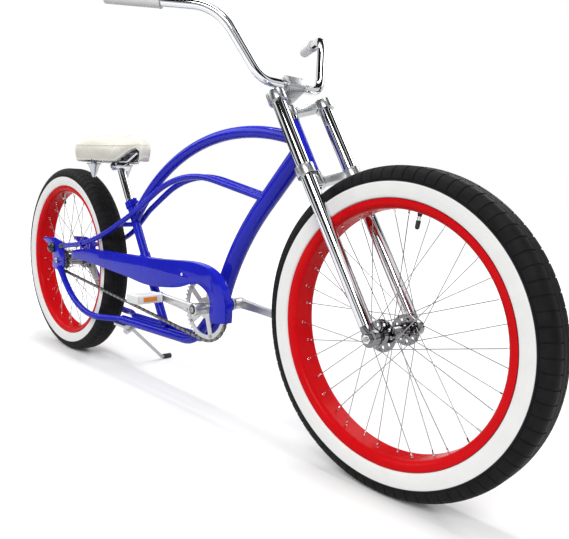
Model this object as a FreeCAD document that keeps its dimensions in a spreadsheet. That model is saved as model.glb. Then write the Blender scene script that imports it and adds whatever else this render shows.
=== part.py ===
# Stretched beach cruiser bicycle, built upright on its wheels and kickstand.
# +X is forward, +Y is the rider's left and +Z is up; the origin is on the ground midway between the hubs.
import FreeCAD, Part
import math
import os
from FreeCAD import Placement, Rotation, Vector

document = FreeCAD.newDocument("beach_cruiser")
sheet = document.addObject("Spreadsheet::Sheet", "sizes")

# Every driving size: lengths in mm, angles in degrees, and counts.
values = {
    "wheelbase": 1516, "running_gap": 0.05, "side_gap": 0.5,
    "tyre_radius": 354, "tyre_half_width": 43, "tread_half_width": 18, "tyre_wall": 5,
    "shoulder_inset": 6.5, "shoulder_drop": 9.5, "whitewall_radius": 319,
    "bead_half_width": 39, "bead_radius": 290, "bead_width": 5.5, "bead_seat_radius": 280,
    "rim_radius": 286, "rim_half_width": 37, "rim_flange": 3, "rim_shelf_half_width": 27,
    "rim_well_half_width": 22, "rim_well_radius": 268, "rim_bed_radius": 265, "rim_bed_half_width": 21,
    "rim_curve_radius": 269.5, "rim_curve_half_width": 32.5,
    "axle_radius": 5, "spoke_radius": 1, "spoke_count": 36, "spoke_turn": 60, "spoke_rim_offset": 6,
    "spoke_tail": 3, "flange_hole_radius": 31, "flange_thickness": 4,
    "front_hub_half_length": 66, "front_flange_inner": 42, "front_flange_radius": 35,
    "front_barrel_radius": 15, "front_barrel_end_radius": 18, "front_nose_radius": 12,
    "flange_window_count": 9, "flange_window_radius": 4, "flange_window_circle": 24.5,
    "rear_hub_right": 46, "rear_hub_left": 50, "rear_flange_inner": 34, "rear_flange_radius": 35,
    "rear_barrel_radius": 21, "rear_nose_radius": 17,
    "head_angle": 59, "fork_offset": 50, "leg_spacing": 81, "leg_radius": 16, "leg_bottom": 28,
    "leg_top": 603, "lower_crown_height": 394, "upper_crown_height": 589, "crown_half_thickness": 12,
    "crown_collar_radius": 22.5, "crown_boss_radius": 24, "crown_arm_width": 22,
    "steerer_radius": 14.3, "steerer_bottom": 380, "steerer_top": 634, "steerer_wall": 3,
    "lug_boss_radius": 19, "lug_inner": 66.5, "lug_outer": 90, "lug_neck_radius": 15, "lug_neck_start": 11,
    "axle_nut_radius": 10, "axle_nut_thickness": 9, "axle_tip": 4,
    "stem_height": 641, "stem_forward": 42, "stem_half_width": 27, "stem_block_half_height": 19,
    "stem_front": 63, "stem_back": 6, "stem_sleeve_radius": 19, "stem_sleeve_bottom": 602,
    "stem_sleeve_top": 636, "stem_bolt_radius": 3.5, "stem_bolt_length": 3,
    "bar_radius": 11.1, "bar_corner_out": 100, "bar_lower_bend": 52, "bar_upper_bend": 120,
    "bar_bend_out": 177, "bar_bend_forward": 353, "bar_bend_height": 1056,
    "bar_end_out": 335, "bar_end_forward": 139, "bar_end_height": 1081,
    "grip_radius": 15.5, "grip_length": 132, "grip_cap": 4,
    "head_tube_radius": 20, "head_bore_radius": 17, "head_tube_bottom": 421, "head_tube_top": 562,
    "cup_radius": 21.5,
    "top_tube_radius": 15.9, "top_arc_forward": 250, "top_arc_apex": 799, "top_arc_radius": 712,
    "down_tube_radius": 24.2, "down_head_height": 486, "down_upper_angle": 46.5, "down_lower_angle": 71,
    "down_bend": 750, "bottle_boss_radius": 6, "bottle_boss_height": 3, "bottle_hole_radius": 2.1,
    "bottle_hole_depth": 12, "bottle_boss_spacing": 64,
    "bb_forward": 163, "bb_height": 316, "bb_shell_radius": 20, "bb_half_width": 36, "bb_bore_radius": 17,
    "cup_flange": 4, "cup_depth": 12, "spindle_radius": 8.5,
    "seat_angle": 60.84, "seat_foot_forward": -127, "seat_foot_height": 222, "seat_tube_radius": 14.3,
    "seat_tube_drop": 20, "seat_tube_length": 445, "seat_bore_depth": 310, "seat_bore_radius": 12.75,
    "collar_radius": 18.2, "collar_height": 20, "collar_ear_width": 13, "collar_ear_reach": 32,
    "collar_bolt_radius": 3.5, "collar_bolt_length": 26,
    "arch_radius": 9, "arch_first_bend": 430, "arch_side_bend": 200, "arch_rear_bend": 690,
    "bottom_tube_radius": 15, "chainstay_radius": 11, "bottom_first_bend": 108, "stay_side_bend": 115,
    "stay_rear_bend": 305, "sleeve_end": -337, "sleeve_overlap": 40,
    "dropout_inner": 60, "dropout_thickness": 6, "bridge_radius": 8,
    "bridge_forward": -345, "bridge_height": 517, "bridge_reach": 41,
    "chain_line": 52, "chain_pitch": 12.7, "ring_teeth": 46, "sprocket_teeth": 18, "tooth_height": 3.6,
    "tooth_root": 3.6, "ring_thickness": 3, "ring_window_inner": 30, "ring_window_outer": 76,
    "ring_arms": 5, "ring_arm_half_width": 8, "chain_half_height": 4.3, "chain_waist": 3.2,
    "chain_gap": 2.6, "chain_plate": 1.6, "roller_radius": 3.9,
    "sprocket_sleeve_radius": 14, "sprocket_sleeve_half": 5, "cone_radius": 9,
    "crank_length": 170, "crank_angle": 4, "crank_boss_radius": 17, "crank_tip_radius": 13,
    "right_arm_inner": 84, "right_arm_outer": 97, "right_boss_inner": 53.5,
    "left_arm_inner": 70, "left_arm_outer": 83, "left_boss_inner": 48, "spindle_proud": 2,
    "pedal_axle_radius": 6, "pedal_gap": 4, "pedal_length": 84, "pedal_width": 62, "pedal_height": 26,
    "pedal_corner": 9, "pedal_end_wall": 5,
    "guard_face": 72, "guard_depth": 25, "guard_sheet": 2, "guard_strap_width": 16, "guard_strap_sheet": 3,
    "strap_height": 419, "strap_collar_radius": 17,
    "clip_forward": -560, "clip_width": 14, "clip_wall": 2.2, "clip_tab_bottom": 402,
    "cap_forward": -806, "cap_height": 399, "cap_radius": 19, "cap_depth": 14,
    "brake_arm_inner": 50.5, "brake_arm_outer": 54.5, "brake_hub_radius": 16, "brake_tip_radius": 9,
    "brake_tip_forward": -655, "brake_tip_height": 245, "brake_bolt_radius": 4, "brake_bolt_head": 6,
    "brake_bolt_proud": 3.5, "brake_bolt_reach": 3,
    "kick_forward": -349, "kick_side": 14, "kick_height": 150, "kick_foot_forward": -398,
    "kick_foot_side": 172, "kick_foot_height": 9, "kick_tip_forward": -401, "kick_tip_side": 208,
    "kick_tip_height": 7, "kick_rod_radius": 5.5, "kick_bend": 14, "kick_head_radius": 10,
    "kick_head_half": 10, "kick_pin_radius": 4, "kick_boss_length": 20, "kick_web_half_length": 7,
    "kick_web_width": 18, "kick_axis_lean": 45, "kick_plate_length": 62, "kick_plate_half_width": 43,
    "kick_plate_thickness": 8,
    "foot_radius": 9.5, "foot_length": 30, "foot_end": 3,
    "post_radius": 12.7, "post_insert": 225, "post_top": 548, "clamp_rise": 15, "clamp_radius": 15,
    "clamp_half_length": 27, "clamp_bolt_radius": 4, "clamp_bolt_half_length": 36, "clamp_nut_radius": 8,
    "rail_radius": 3.5, "rail_half_gap": 21, "rail_drop": 15, "rail_bend": 26,
    "saddle_nose": -232, "saddle_length": 318, "saddle_half_width": 118, "saddle_bottom": 727,
    "saddle_height": 86, "saddle_wall": 9, "pan_bottom": 756, "pan_thickness": 5, "pan_inset": 0.4,
    "bumper_forward": -470, "bumper_side": 62, "bumper_radius": 20, "bumper_tip_radius": 5,
    "bumper_height": 45, "bumper_plate": 3, "bumper_plate_radius": 24, "bumper_stem_radius": 10,
    "bumper_stem_length": 34,
}

# Positions as shares of the wheelbase: forward, outward and up.
arch_shares = [(0.2309, 0.0106, 0.4136), (-0.0059, 0.0129, 0.465), (-0.1649, 0.0158, 0.376),
               (-0.3146, 0.0435, 0.2922), (-0.4796, 0.0435, 0.2724)]
stay_shares = [(0.1108, 0.0145, 0.2018), (0.0442, 0.0145, 0.1293), (-0.2276, 0.0178, 0.1253),
               (-0.2889, 0.0449, 0.1227), (-0.3951, 0.0449, 0.1214), (-0.4905, 0.0449, 0.2168)]
dropout_shares = [(-0.4697, 0.2803), (-0.5211, 0.2896), (-0.5871, 0.2863), (-0.5897, 0.2797),
                  (-0.5574, 0.2691), (-0.5356, 0.2546), (-0.5356, 0.2124), (-0.496, 0.2045), (-0.4697, 0.221)]
guard_shares = [(-0.4162, 0.2658), (-0.3555, 0.2757), (-0.2388, 0.2797), (-0.0983, 0.283), (0.0119, 0.2876),
                (0.0858, 0.2909), (0.1253, 0.285), (0.1517, 0.2724), (0.1689, 0.2546), (0.1794, 0.2256),
                (0.1797, 0.1926), (0.1504, 0.188), (0.1359, 0.1985), (0.1352, 0.2289), (0.1293, 0.2381),
                (0.1168, 0.2467), (0.0963, 0.2526), (0.0528, 0.2421), (0.0125, 0.2342), (-0.0297, 0.2296),
                (-0.0983, 0.2289), (-0.1471, 0.2342), (-0.2256, 0.2401), (-0.281, 0.2441), (-0.347, 0.2474),
                (-0.4176, 0.2487)]
guard_upper_count = 11
# Saddle plan: share of its length behind the nose, and share of its half width.
saddle_shares = [(0, 0), (0.02, 0.16), (0.12, 0.27), (0.3, 0.36), (0.48, 0.56), (0.64, 0.84), (0.8, 1),
                 (0.93, 0.86), (1, 0.45), (1, 0)]
# Cushion levels: share of its height, and share of the plan at that level.
cushion_shares = [(0, 0.94), (0.3, 1), (0.62, 0.98), (0.86, 0.86), (1, 0.56)]
# Cut-away in the skirt: share of the length behind the nose, and share of the height above the lower edge.
skirt_shares = [(0.45, -0.1), (0.34, 0.1), (0.24, 0.28), (0.16, 0.42), (0.1, 0.48), (0.06, 0.46), (0.048, 0.36),
                (0.055, 0.16), (0.075, -0.1)]
rail_shares = [(0.13, 0.45, 0.36), (0.26, 1, 0), (0.76, 1, 0), (0.9, 1.9, 0.36)]
# One tooth: share of the pitch either side of its middle, at the root, the tip, the tip and the root.
tooth_shares = [-0.32, -0.1, 0.1, 0.32]
# The folded kickstand's direction.
folded_shares = (-1, 0.36, 0)
# Smaller shares of the size that each piece carries.
shoulder_wall_share = 0.7
crown_arm_share = 0.75
stem_round_share = 0.7
stem_bolt_share = 0.6
collar_bolt_share = 0.8
cap_top_share = 0.7
kick_plate_back_share = 1 / 3
saddle_middle_share = 0.6
pan_plan_share = 0.94
clamp_nut_share = 0.92
rail_sink_share = 0.3
# How far a cutting tool runs past what it cuts.
overrun_share = 1.5


def fill_sheet():
    for row, (alias, value) in enumerate(values.items(), 1):
        sheet.set("A%d" % row, alias)
        sheet.set("B%d" % row, repr(value))
        sheet.setAlias("B%d" % row, alias)
    document.recompute()


def size(alias):
    return float(sheet.get(alias))


fill_sheet()
finished = {}
across = Vector(0, 1, 0)
wheelbase = size("wheelbase")
front_hub = Vector(wheelbase / 2, 0, size("tyre_radius"))
rear_hub = Vector(-wheelbase / 2, 0, size("tyre_radius"))
bottom_bracket = Vector(size("bb_forward"), 0, size("bb_height"))
head_turn = math.radians(size("head_angle"))
rise = Vector(-math.cos(head_turn), 0, math.sin(head_turn))
ahead = Vector(math.sin(head_turn), 0, math.cos(head_turn))
seat_turn = math.radians(size("seat_angle"))
seat_rise = Vector(-math.cos(seat_turn), 0, math.sin(seat_turn))
seat_foot = Vector(size("seat_foot_forward"), 0, size("seat_foot_height"))


def finish(node, item):
    item.Label = node
    finished[node] = item
    return item


def steer_point(height, forward=0, side=0):
    return front_hub + rise * height + ahead * (forward - size("fork_offset")) + across * side


def leg_point(height, side):
    return front_hub + rise * height + across * (side * size("leg_spacing"))


def post_point(height):
    return seat_foot + seat_rise * height


def shared_point(shares, side=0):
    return Vector(shares[0] * wheelbase, side * shares[1] * wheelbase, shares[2] * wheelbase)


def turned(direction):
    return Rotation(Vector(0, 0, 1), direction)


def cylinder(name, radius, height, base, direction):
    item = document.addObject("Part::Cylinder", name)
    item.setExpression("Radius", radius)
    item.setExpression("Height", height)
    item.Placement = Placement(base, turned(direction))
    return item


def cross_cylinder(name, radius, centre, first, last):
    # A cylinder along Y between two side positions given as expressions of the sheet.
    item = document.addObject("Part::Cylinder", name)
    item.setExpression("Radius", radius)
    item.setExpression("Height", "(%s) - (%s)" % (last, first))
    item.Placement = Placement(Vector(centre.x, 0, centre.z), turned(across))
    item.setExpression("Placement.Base.y", first)
    return item


def tilted_box(name, length, width, height, corner, x_axis, z_axis):
    item = document.addObject("Part::Box", name)
    item.setExpression("Length", length)
    item.setExpression("Width", width)
    item.setExpression("Height", height)
    rotation = Rotation(x_axis, z_axis.cross(x_axis), z_axis, "XZY")
    item.Placement = Placement(corner, rotation)
    return item


def outline(name, wire):
    item = document.addObject("Part::Feature", name)
    item.Shape = wire
    return item


def extruded(name, wire, depth):
    # Extrudes a closed wire in an XZ plane along +Y.
    item = document.addObject("Part::Extrusion", name)
    item.Base = outline(name + "_outline", Part.Face(wire))
    item.DirMode = "Custom"
    item.Dir = across
    item.setExpression("LengthFwd", depth)
    item.Solid = True
    return item


def revolved(name, wire, centre):
    item = document.addObject("Part::Revolution", name)
    item.Source = outline(name + "_profile", Part.Face(wire))
    item.Base = centre
    item.Axis = across
    item.Angle = 360
    item.Solid = True
    return item


def fused(name, items):
    item = document.addObject("Part::MultiFuse", name)
    item.Shapes = items
    return item


def cut(name, base, tools):
    for step, tool in enumerate(tools):
        item = document.addObject("Part::Cut", "%s_%d" % (name, step))
        item.Base = base
        item.Tool = tool
        base = item
    return base


def rounded_path(corners, bends):
    # A wire of straight runs joined by tangent arcs, one bend radius for each inner corner.
    edges = []
    start = corners[0]
    for corner, after, bend in zip(corners[1:-1], corners[2:], bends):
        before = (start - corner).normalize()
        onward = (after - corner).normalize()
        half = before.getAngle(onward) / 2
        reach = bend / math.tan(half)
        middle = (before + onward).normalize()
        first = corner + before * reach
        last = corner + onward * reach
        top = corner + middle * (bend / math.sin(half) - bend)
        edges.append(Part.makeLine(start, first))
        edges.append(Part.Arc(first, top, last).toShape())
        start = last
    edges.append(Part.makeLine(start, corners[-1]))
    return Part.Wire(edges)


def tube(name, radius, path):
    # Sweeps a circle along a path that starts square to it.
    spine = outline(name + "_path", path)
    ring = document.addObject("Part::Circle", name + "_ring")
    ring.setExpression("Radius", radius)
    first = path.OrderedEdges[0]
    begin = path.OrderedVertexes[0].Point
    way = first.tangentAt(first.FirstParameter)
    if (first.valueAt(first.FirstParameter) - begin).Length > (first.valueAt(first.LastParameter) - begin).Length:
        way = first.tangentAt(first.LastParameter) * -1
    ring.Placement = Placement(begin, turned(way))
    item = document.addObject("Part::Sweep", name)
    item.Sections = [ring]
    item.Spine = (spine, ["Edge%d" % (number + 1) for number in range(len(path.Edges))])
    item.Solid = True
    return item


def polygon(points):
    return Part.makePolygon(points + [points[0]])


def profile(points, centre):
    # Turns (side, radius) pairs into points above a wheel centre.
    return [centre + Vector(0, side, radius) for side, radius in points]


def link_wire(first, first_radius, last, last_radius):
    # Two circles in an XZ plane joined by their outer tangents.
    way = last - first
    lean = math.acos((first_radius - last_radius) / way.Length)
    base = math.atan2(way.z, way.x)
    spots = []
    for centre, radius, turns in ((first, first_radius, (lean, math.pi, 2 * math.pi - lean)),
                                  (last, last_radius, (-lean, 0, lean))):
        for turn in turns:
            spots.append(centre + Vector(math.cos(base + turn), 0, math.sin(base + turn)) * radius)
    edges = [Part.Arc(spots[0], spots[1], spots[2]).toShape(), Part.makeLine(spots[2], spots[3])]
    edges += [Part.Arc(spots[3], spots[4], spots[5]).toShape(), Part.makeLine(spots[5], spots[0])]
    return Part.Wire(edges)


def make_tyre(node, hub):
    wall = size("tyre_wall")
    shoulder = wall * shoulder_wall_share
    tread, radius, half = size("tread_half_width"), size("tyre_radius"), size("tyre_half_width")
    wide_radius = size("whitewall_radius")
    inset, drop = size("shoulder_inset"), size("shoulder_drop")
    bead, bead_radius = size("bead_half_width"), size("bead_radius")
    flange = size("rim_half_width") - size("rim_flange")
    seat, toe = size("bead_seat_radius"), size("bead_width")
    side = [(tread, radius), (half - inset, radius - drop), (half, wide_radius), (bead, bead_radius),
            (flange, size("rim_radius")), (flange, seat), (flange - toe, seat), (bead - wall, bead_radius),
            (half - wall, wide_radius), (half - inset - shoulder, radius - drop - shoulder), (tread, radius - wall)]
    right = profile(side, hub)
    left = profile([(-y, r) for y, r in side], hub)
    edges = [Part.makeLine(left[0], right[0]), Part.Arc(*right[0:3]).toShape()]
    edges += [Part.makeLine(right[step], right[step + 1]) for step in range(2, 8)]
    edges += [Part.Arc(*right[8:11]).toShape(), Part.makeLine(right[10], left[10])]
    edges += [Part.Arc(left[10], left[9], left[8]).toShape()]
    edges += [Part.makeLine(left[step + 1], left[step]) for step in range(7, 1, -1)]
    edges += [Part.Arc(left[2], left[1], left[0]).toShape()]
    finish(node, revolved(node, Part.Wire(edges), hub))


def make_rim(node, hub):
    half, edge, seat = size("rim_half_width"), size("rim_radius"), size("bead_seat_radius")
    lip = half - size("rim_flange")
    well, bed = size("rim_well_half_width"), size("rim_bed_half_width")
    inside = [(half, seat), (size("rim_curve_half_width"), size("rim_curve_radius")),
              (bed, size("rim_bed_radius"))]
    outside = [(half, edge), (lip, edge), (lip, seat), (size("rim_shelf_half_width"), seat),
               (well, size("rim_well_radius"))]
    right_out, right_in = profile(outside, hub), profile(inside, hub)
    left_out = profile([(-y, r) for y, r in outside], hub)
    left_in = profile([(-y, r) for y, r in inside], hub)
    edges = [Part.makeLine(right_out[step], right_out[step + 1]) for step in range(4)]
    edges += [Part.makeLine(right_out[4], left_out[4])]
    edges += [Part.makeLine(left_out[step + 1], left_out[step]) for step in range(3, -1, -1)]
    edges += [Part.makeLine(left_out[0], left_in[0]), Part.Arc(*left_in).toShape()]
    edges += [Part.makeLine(left_in[2], right_in[2]), Part.Arc(right_in[2], right_in[1], right_in[0]).toShape()]
    edges += [Part.makeLine(right_in[0], right_out[0])]
    return finish(node, revolved(node, Part.Wire(edges), hub))


def flange_windows(name, hub, inner):
    # Drilled lightening holes in both flanges.
    count = int(size("flange_window_count"))
    holes = []
    for number in range(count):
        turn = 2 * math.pi * number / count
        offset = Vector(math.cos(turn), 0, math.sin(turn)) * size("flange_window_circle")
        for side in (1, -1):
            base = hub + offset + across * (side * inner - size("flange_thickness") * (1 if side > 0 else 2))
            holes.append(Part.makeCylinder(size("flange_window_radius"), size("flange_thickness") * 3, base, across))
    return outline(name, Part.makeCompound(holes))


def make_front_hub(node, hub):
    thick, inner, ring = size("flange_thickness"), size("front_flange_inner"), size("front_flange_radius")
    end, neck = size("front_barrel_end_radius"), size("front_nose_radius")
    bore = size("axle_radius") + size("running_gap")
    half = [(0, bore), (0, size("front_barrel_radius")), (inner - thick * 2, size("front_barrel_radius")),
            (inner, end), (inner, ring), (inner + thick, ring), (inner + thick, end),
            (inner + thick * 2, neck), (size("front_hub_half_length"), neck), (size("front_hub_half_length"), bore)]
    points = half[1:] + [(-y, r) for y, r in reversed(half[1:]) if y > 0]
    body = revolved(node + "_body", polygon(profile(points, hub)), hub)
    return finish(node, cut(node, body, [flange_windows(node + "_windows", hub, inner)]))


def make_rear_hub(node, hub):
    thick, inner, ring = size("flange_thickness"), size("rear_flange_inner"), size("rear_flange_radius")
    barrel, neck = size("rear_barrel_radius"), size("rear_nose_radius")
    bore = size("axle_radius") + size("running_gap")
    left, right = size("rear_hub_left"), -size("rear_hub_right")
    points = [(left, bore), (left, neck), (inner + thick * 2, neck), (inner + thick, barrel), (inner + thick, ring),
              (inner, ring), (inner, barrel), (-inner, barrel), (-inner, ring), (-inner - thick, ring),
              (-inner - thick, barrel), (-inner - thick * 2, neck), (right, neck), (right, bore)]
    body = revolved(node + "_body", polygon(profile(points, hub)), hub)
    return finish(node, cut(node, body, [flange_windows(node + "_windows", hub, inner)]))


def make_spokes(node, hub, inner, rim, hub_shell):
    # Crossed spokes, leaning alternately forward and back on each flange, trimmed at the rim bed and the flange.
    count = int(size("spoke_count"))
    rods = []
    for number in range(count):
        side = 1 if number % 2 else -1
        lean = 1 if (number // 2) % 2 else -1
        rim_turn = 2 * math.pi * (number + 0.5) / count
        hub_turn = rim_turn + lean * math.radians(size("spoke_turn"))
        face = inner - size("spoke_radius") if lean > 0 else inner + size("flange_thickness") + size("spoke_radius")
        start = Vector(math.cos(hub_turn), 0, math.sin(hub_turn)) * size("flange_hole_radius")
        start = start + across * (side * face)
        rim_middle = (size("rim_well_radius") + size("rim_bed_radius")) / 2
        stop = Vector(math.cos(rim_turn), 0, math.sin(rim_turn)) * rim_middle
        stop = stop + across * (side * size("spoke_rim_offset"))
        way = (stop - start).normalize()
        start = start - way * size("spoke_tail")
        rods.append(Part.makeCylinder(size("spoke_radius"), (stop - start).Length, hub + start, way))
    bundle = outline(node + "_rods", Part.makeCompound(rods))
    finish(node, cut(node, bundle, [rim, hub_shell]))


def make_wheels():
    make_tyre("front_tyre", front_hub)
    make_tyre("rear_tyre", rear_hub)
    front_rim = make_rim("front_rim", front_hub)
    rear_rim = make_rim("rear_rim", rear_hub)
    front_shell = make_front_hub("front_hub", front_hub)
    rear_shell = make_rear_hub("rear_hub", rear_hub)
    make_spokes("front_spokes", front_hub, size("front_flange_inner"), front_rim, front_shell)
    make_spokes("rear_spokes", rear_hub, size("rear_flange_inner"), rear_rim, rear_shell)


def nut_wire(centre, radius):
    spots = []
    for number in range(6):
        turn = math.radians(60 * number)
        spots.append(centre + Vector(math.cos(turn), 0, math.sin(turn)) * radius)
    return polygon(spots)


def make_nuts(node, hub, face):
    pieces = []
    for side in (1, -1):
        base = face if side > 0 else -face - size("axle_nut_thickness")
        centre = hub + across * base
        body = extruded("%s_%s" % (node, "left" if side > 0 else "right"), nut_wire(centre, size("axle_nut_radius")),
                        "sizes.axle_nut_thickness")
        pieces.append(body)
    group = document.addObject("Part::Compound", node + "_pair")
    group.Links = pieces
    return group


def make_front_axle():
    reach = "sizes.lug_outer + sizes.axle_nut_thickness + sizes.axle_tip"
    axle = cross_cylinder("front_axle", "sizes.axle_radius", front_hub, "-(%s)" % reach, reach)
    finish("front_axle", axle)
    nuts = make_nuts("front_axle_nuts", front_hub, size("lug_outer"))
    finish("front_axle_nuts", cut("front_axle_nuts", nuts, [axle]))


def make_rear_axle():
    outer = "sizes.dropout_inner + sizes.dropout_thickness"
    reach = outer + " + sizes.axle_nut_thickness + sizes.axle_tip"
    shaft = cross_cylinder("rear_shaft", "sizes.axle_radius", rear_hub, "-(%s)" % reach, reach)
    right_cone = cross_cylinder("right_cone", "sizes.cone_radius", rear_hub, "-sizes.dropout_inner",
                                "-(sizes.chain_line + sizes.sprocket_sleeve_half + sizes.side_gap)")
    left_cone = cross_cylinder("left_cone", "sizes.cone_radius", rear_hub, "sizes.brake_arm_outer",
                               "sizes.dropout_inner")
    axle = finish("rear_axle", fused("rear_axle", [shaft, right_cone, left_cone]))
    nuts = make_nuts("rear_axle_nuts", rear_hub, size("dropout_inner") + size("dropout_thickness"))
    finish("rear_axle_nuts", cut("rear_axle_nuts", nuts, [shaft]))
    return axle


def make_crown(node, height, tools):
    thick = size("crown_half_thickness")
    pieces = [cylinder(node + "_boss", "sizes.crown_boss_radius", "sizes.crown_half_thickness * 2",
                       steer_point(height - thick), rise)]
    for side, word in ((1, "left"), (-1, "right")):
        base = leg_point(height - thick, side)
        pieces.append(cylinder("%s_%s_collar" % (node, word), "sizes.crown_collar_radius",
                               "sizes.crown_half_thickness * 2", base, rise))
        way = base - steer_point(height - thick)
        span = way.Length
        way.normalize()
        arm_across = rise.cross(way)
        corner = steer_point(height - thick * crown_arm_share) - arm_across * (size("crown_arm_width") / 2)
        arm = document.addObject("Part::Box", "%s_%s_arm" % (node, word))
        arm.Length = span
        arm.setExpression("Width", "sizes.crown_arm_width")
        arm.setExpression("Height", "sizes.crown_half_thickness * %r" % (2 * crown_arm_share))
        arm.Placement = Placement(corner, Rotation(way, arm_across, rise, "XZY"))
        pieces.append(arm)
    return finish(node, cut(node, fused(node + "_body", pieces), tools))


def make_fork():
    legs = []
    for side, word in ((1, "left"), (-1, "right")):
        leg = cylinder(word + "_fork_leg", "sizes.leg_radius", "sizes.leg_top - sizes.leg_bottom",
                       leg_point(size("leg_bottom"), side), rise)
        legs.append(finish(word + "_fork_leg", leg))
    outer = cylinder("steerer_outer", "sizes.steerer_radius", "sizes.steerer_top - sizes.steerer_bottom",
                     steer_point(size("steerer_bottom")), rise)
    inner = cylinder("steerer_inner", "sizes.steerer_radius - sizes.steerer_wall",
                     "sizes.steerer_top - sizes.steerer_bottom", steer_point(size("steerer_bottom")), rise)
    finish("steerer", cut("steerer", outer, [inner]))
    make_crown("lower_crown", size("lower_crown_height"), legs + [outer])
    make_crown("upper_crown", size("upper_crown_height"), legs + [outer])
    lugs = []
    bore = cross_cylinder("lug_bore", "sizes.axle_radius", front_hub, "-sizes.lug_outer * %r" % overrun_share,
                          "sizes.lug_outer * %r" % overrun_share)
    for side, word in ((1, "left"), (-1, "right")):
        first, last = "sizes.lug_inner", "sizes.lug_outer"
        if side < 0:
            first, last = "-" + last, "-" + first
        boss = cross_cylinder(word + "_lug_boss", "sizes.lug_boss_radius", front_hub, first, last)
        neck = cylinder(word + "_lug_neck", "sizes.lug_neck_radius", "sizes.leg_bottom - sizes.lug_neck_start",
                        leg_point(size("lug_neck_start"), side), rise)
        body = cut(word + "_lug", fused(word + "_lug_body", [boss, neck]), [bore])
        lugs.append(body)
    group = document.addObject("Part::Compound", "fork_lugs")
    group.Links = lugs
    finish("fork_lugs", group)
    return outer


def make_stem(steerer):
    height, forward = size("stem_height"), size("stem_forward")
    half = size("stem_block_half_height")
    corner = steer_point(height - half, size("stem_back"), -size("stem_half_width"))
    block = tilted_box("stem_block", "sizes.stem_front - sizes.stem_back", "sizes.stem_half_width * 2",
                       "sizes.stem_block_half_height * 2", corner, ahead, rise)
    rounded = document.addObject("Part::Fillet", "stem_rounded")
    rounded.Base = block
    document.recompute()
    front_edges = []
    for number, edge in enumerate(block.Shape.Edges, 1):
        middle = edge.CenterOfMass - steer_point(height)
        if abs(edge.tangentAt(edge.FirstParameter).y) > 0.9 and middle.dot(ahead) > forward:
            front_edges.append((number, half * stem_round_share, half * stem_round_share))
    rounded.Edges = front_edges
    sleeve = cylinder("stem_sleeve", "sizes.stem_sleeve_radius", "sizes.stem_sleeve_top - sizes.stem_sleeve_bottom",
                      steer_point(size("stem_sleeve_bottom")), rise)
    bar_bore = cross_cylinder("stem_bar_bore", "sizes.bar_radius + sizes.running_gap", steer_point(height, forward),
                              "-sizes.stem_half_width * %r" % overrun_share,
                              "sizes.stem_half_width * %r" % overrun_share)
    finish("stem", cut("stem", fused("stem_body", [rounded, sleeve]), [bar_bore, steerer]))
    bolts = []
    for side in (1, -1):
        for level in (1, -1):
            spot = steer_point(height + level * half * stem_bolt_share, size("stem_back") * 2,
                               side * size("stem_half_width"))
            bolts.append(Part.makeCylinder(size("stem_bolt_radius"), size("stem_bolt_length"), spot, across * side))
    finish("stem_bolts", outline("stem_bolts", Part.makeCompound(bolts)))


def make_handlebar():
    clamp = steer_point(size("stem_height"), size("stem_forward"))

    def half_path(side):
        end = Vector(size("bar_end_forward"), side * size("bar_end_out"), size("bar_end_height"))
        bend = Vector(size("bar_bend_forward"), side * size("bar_bend_out"), size("bar_bend_height"))
        corner = clamp + across * (side * size("bar_corner_out"))
        return [end, bend, corner]

    right, left = half_path(-1), half_path(1)
    upper, lower = size("bar_upper_bend"), size("bar_lower_bend")
    path = rounded_path(right + left[::-1], [upper, lower, lower, upper])
    bar = finish("handlebar", tube("handlebar", "sizes.bar_radius", path))
    for points, word in ((right, "right"), (left, "left")):
        way = (points[1] - points[0]).normalize()
        outer = cylinder(word + "_grip_outer", "sizes.grip_radius", "sizes.grip_length + sizes.grip_cap",
                         points[0] - way * size("grip_cap"), way)
        finish(word + "_grip", cut(word + "_grip", outer, [bar]))


def make_head(raw):
    bore = cylinder("head_bore", "sizes.head_bore_radius", "sizes.head_tube_top - sizes.head_tube_bottom",
                    steer_point(size("head_tube_bottom")), rise)
    finish("head_tube", cut("head_tube", raw, [bore]))
    cups = []
    thick, gap = size("crown_half_thickness"), size("side_gap")
    spans = ((size("lower_crown_height") + thick + gap, size("head_tube_bottom")),
             (size("head_tube_top"), size("upper_crown_height") - thick - gap))
    for number, (first, last) in enumerate(spans):
        ring = Part.makeCylinder(size("cup_radius"), last - first, steer_point(first), rise)
        hole = Part.makeCylinder(size("steerer_radius") + size("running_gap"), last - first, steer_point(first), rise)
        cups.append(ring.cut(hole))
    finish("headset_cups", outline("headset_cups", Part.makeCompound(cups)))


def down_tube_frame():
    # The straight upper run, the corner it bends at, and the bottom bracket end.
    upper = math.radians(size("down_upper_angle"))
    lower = math.radians(size("down_lower_angle"))
    start = steer_point(size("down_head_height"))
    first = Vector(-math.cos(upper), 0, -math.sin(upper))
    last = Vector(-math.cos(lower), 0, -math.sin(lower))
    gap = bottom_bracket - start
    reach = (gap.x * last.z - gap.z * last.x) / (first.x * last.z - first.z * last.x)
    corner = start + first * reach
    return start, corner, first, last


def bottle_spots():
    # Two points on the tube's rear face along its bend, with their outward directions.
    start, corner, first, last = down_tube_frame()
    bend = size("down_bend")
    half = (first * -1).getAngle(last) / 2
    middle = (first * -1 + last).normalize()
    centre = corner + middle * (bend / math.sin(half))
    step = size("bottle_boss_spacing") / (bend + size("down_tube_radius")) / 2
    spots = []
    for turn in (-step, step):
        outward = middle * -1
        outward = Rotation(across, math.degrees(turn)).multVec(outward)
        spots.append((centre + outward * (bend + size("down_tube_radius")), outward))
    return spots


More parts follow.
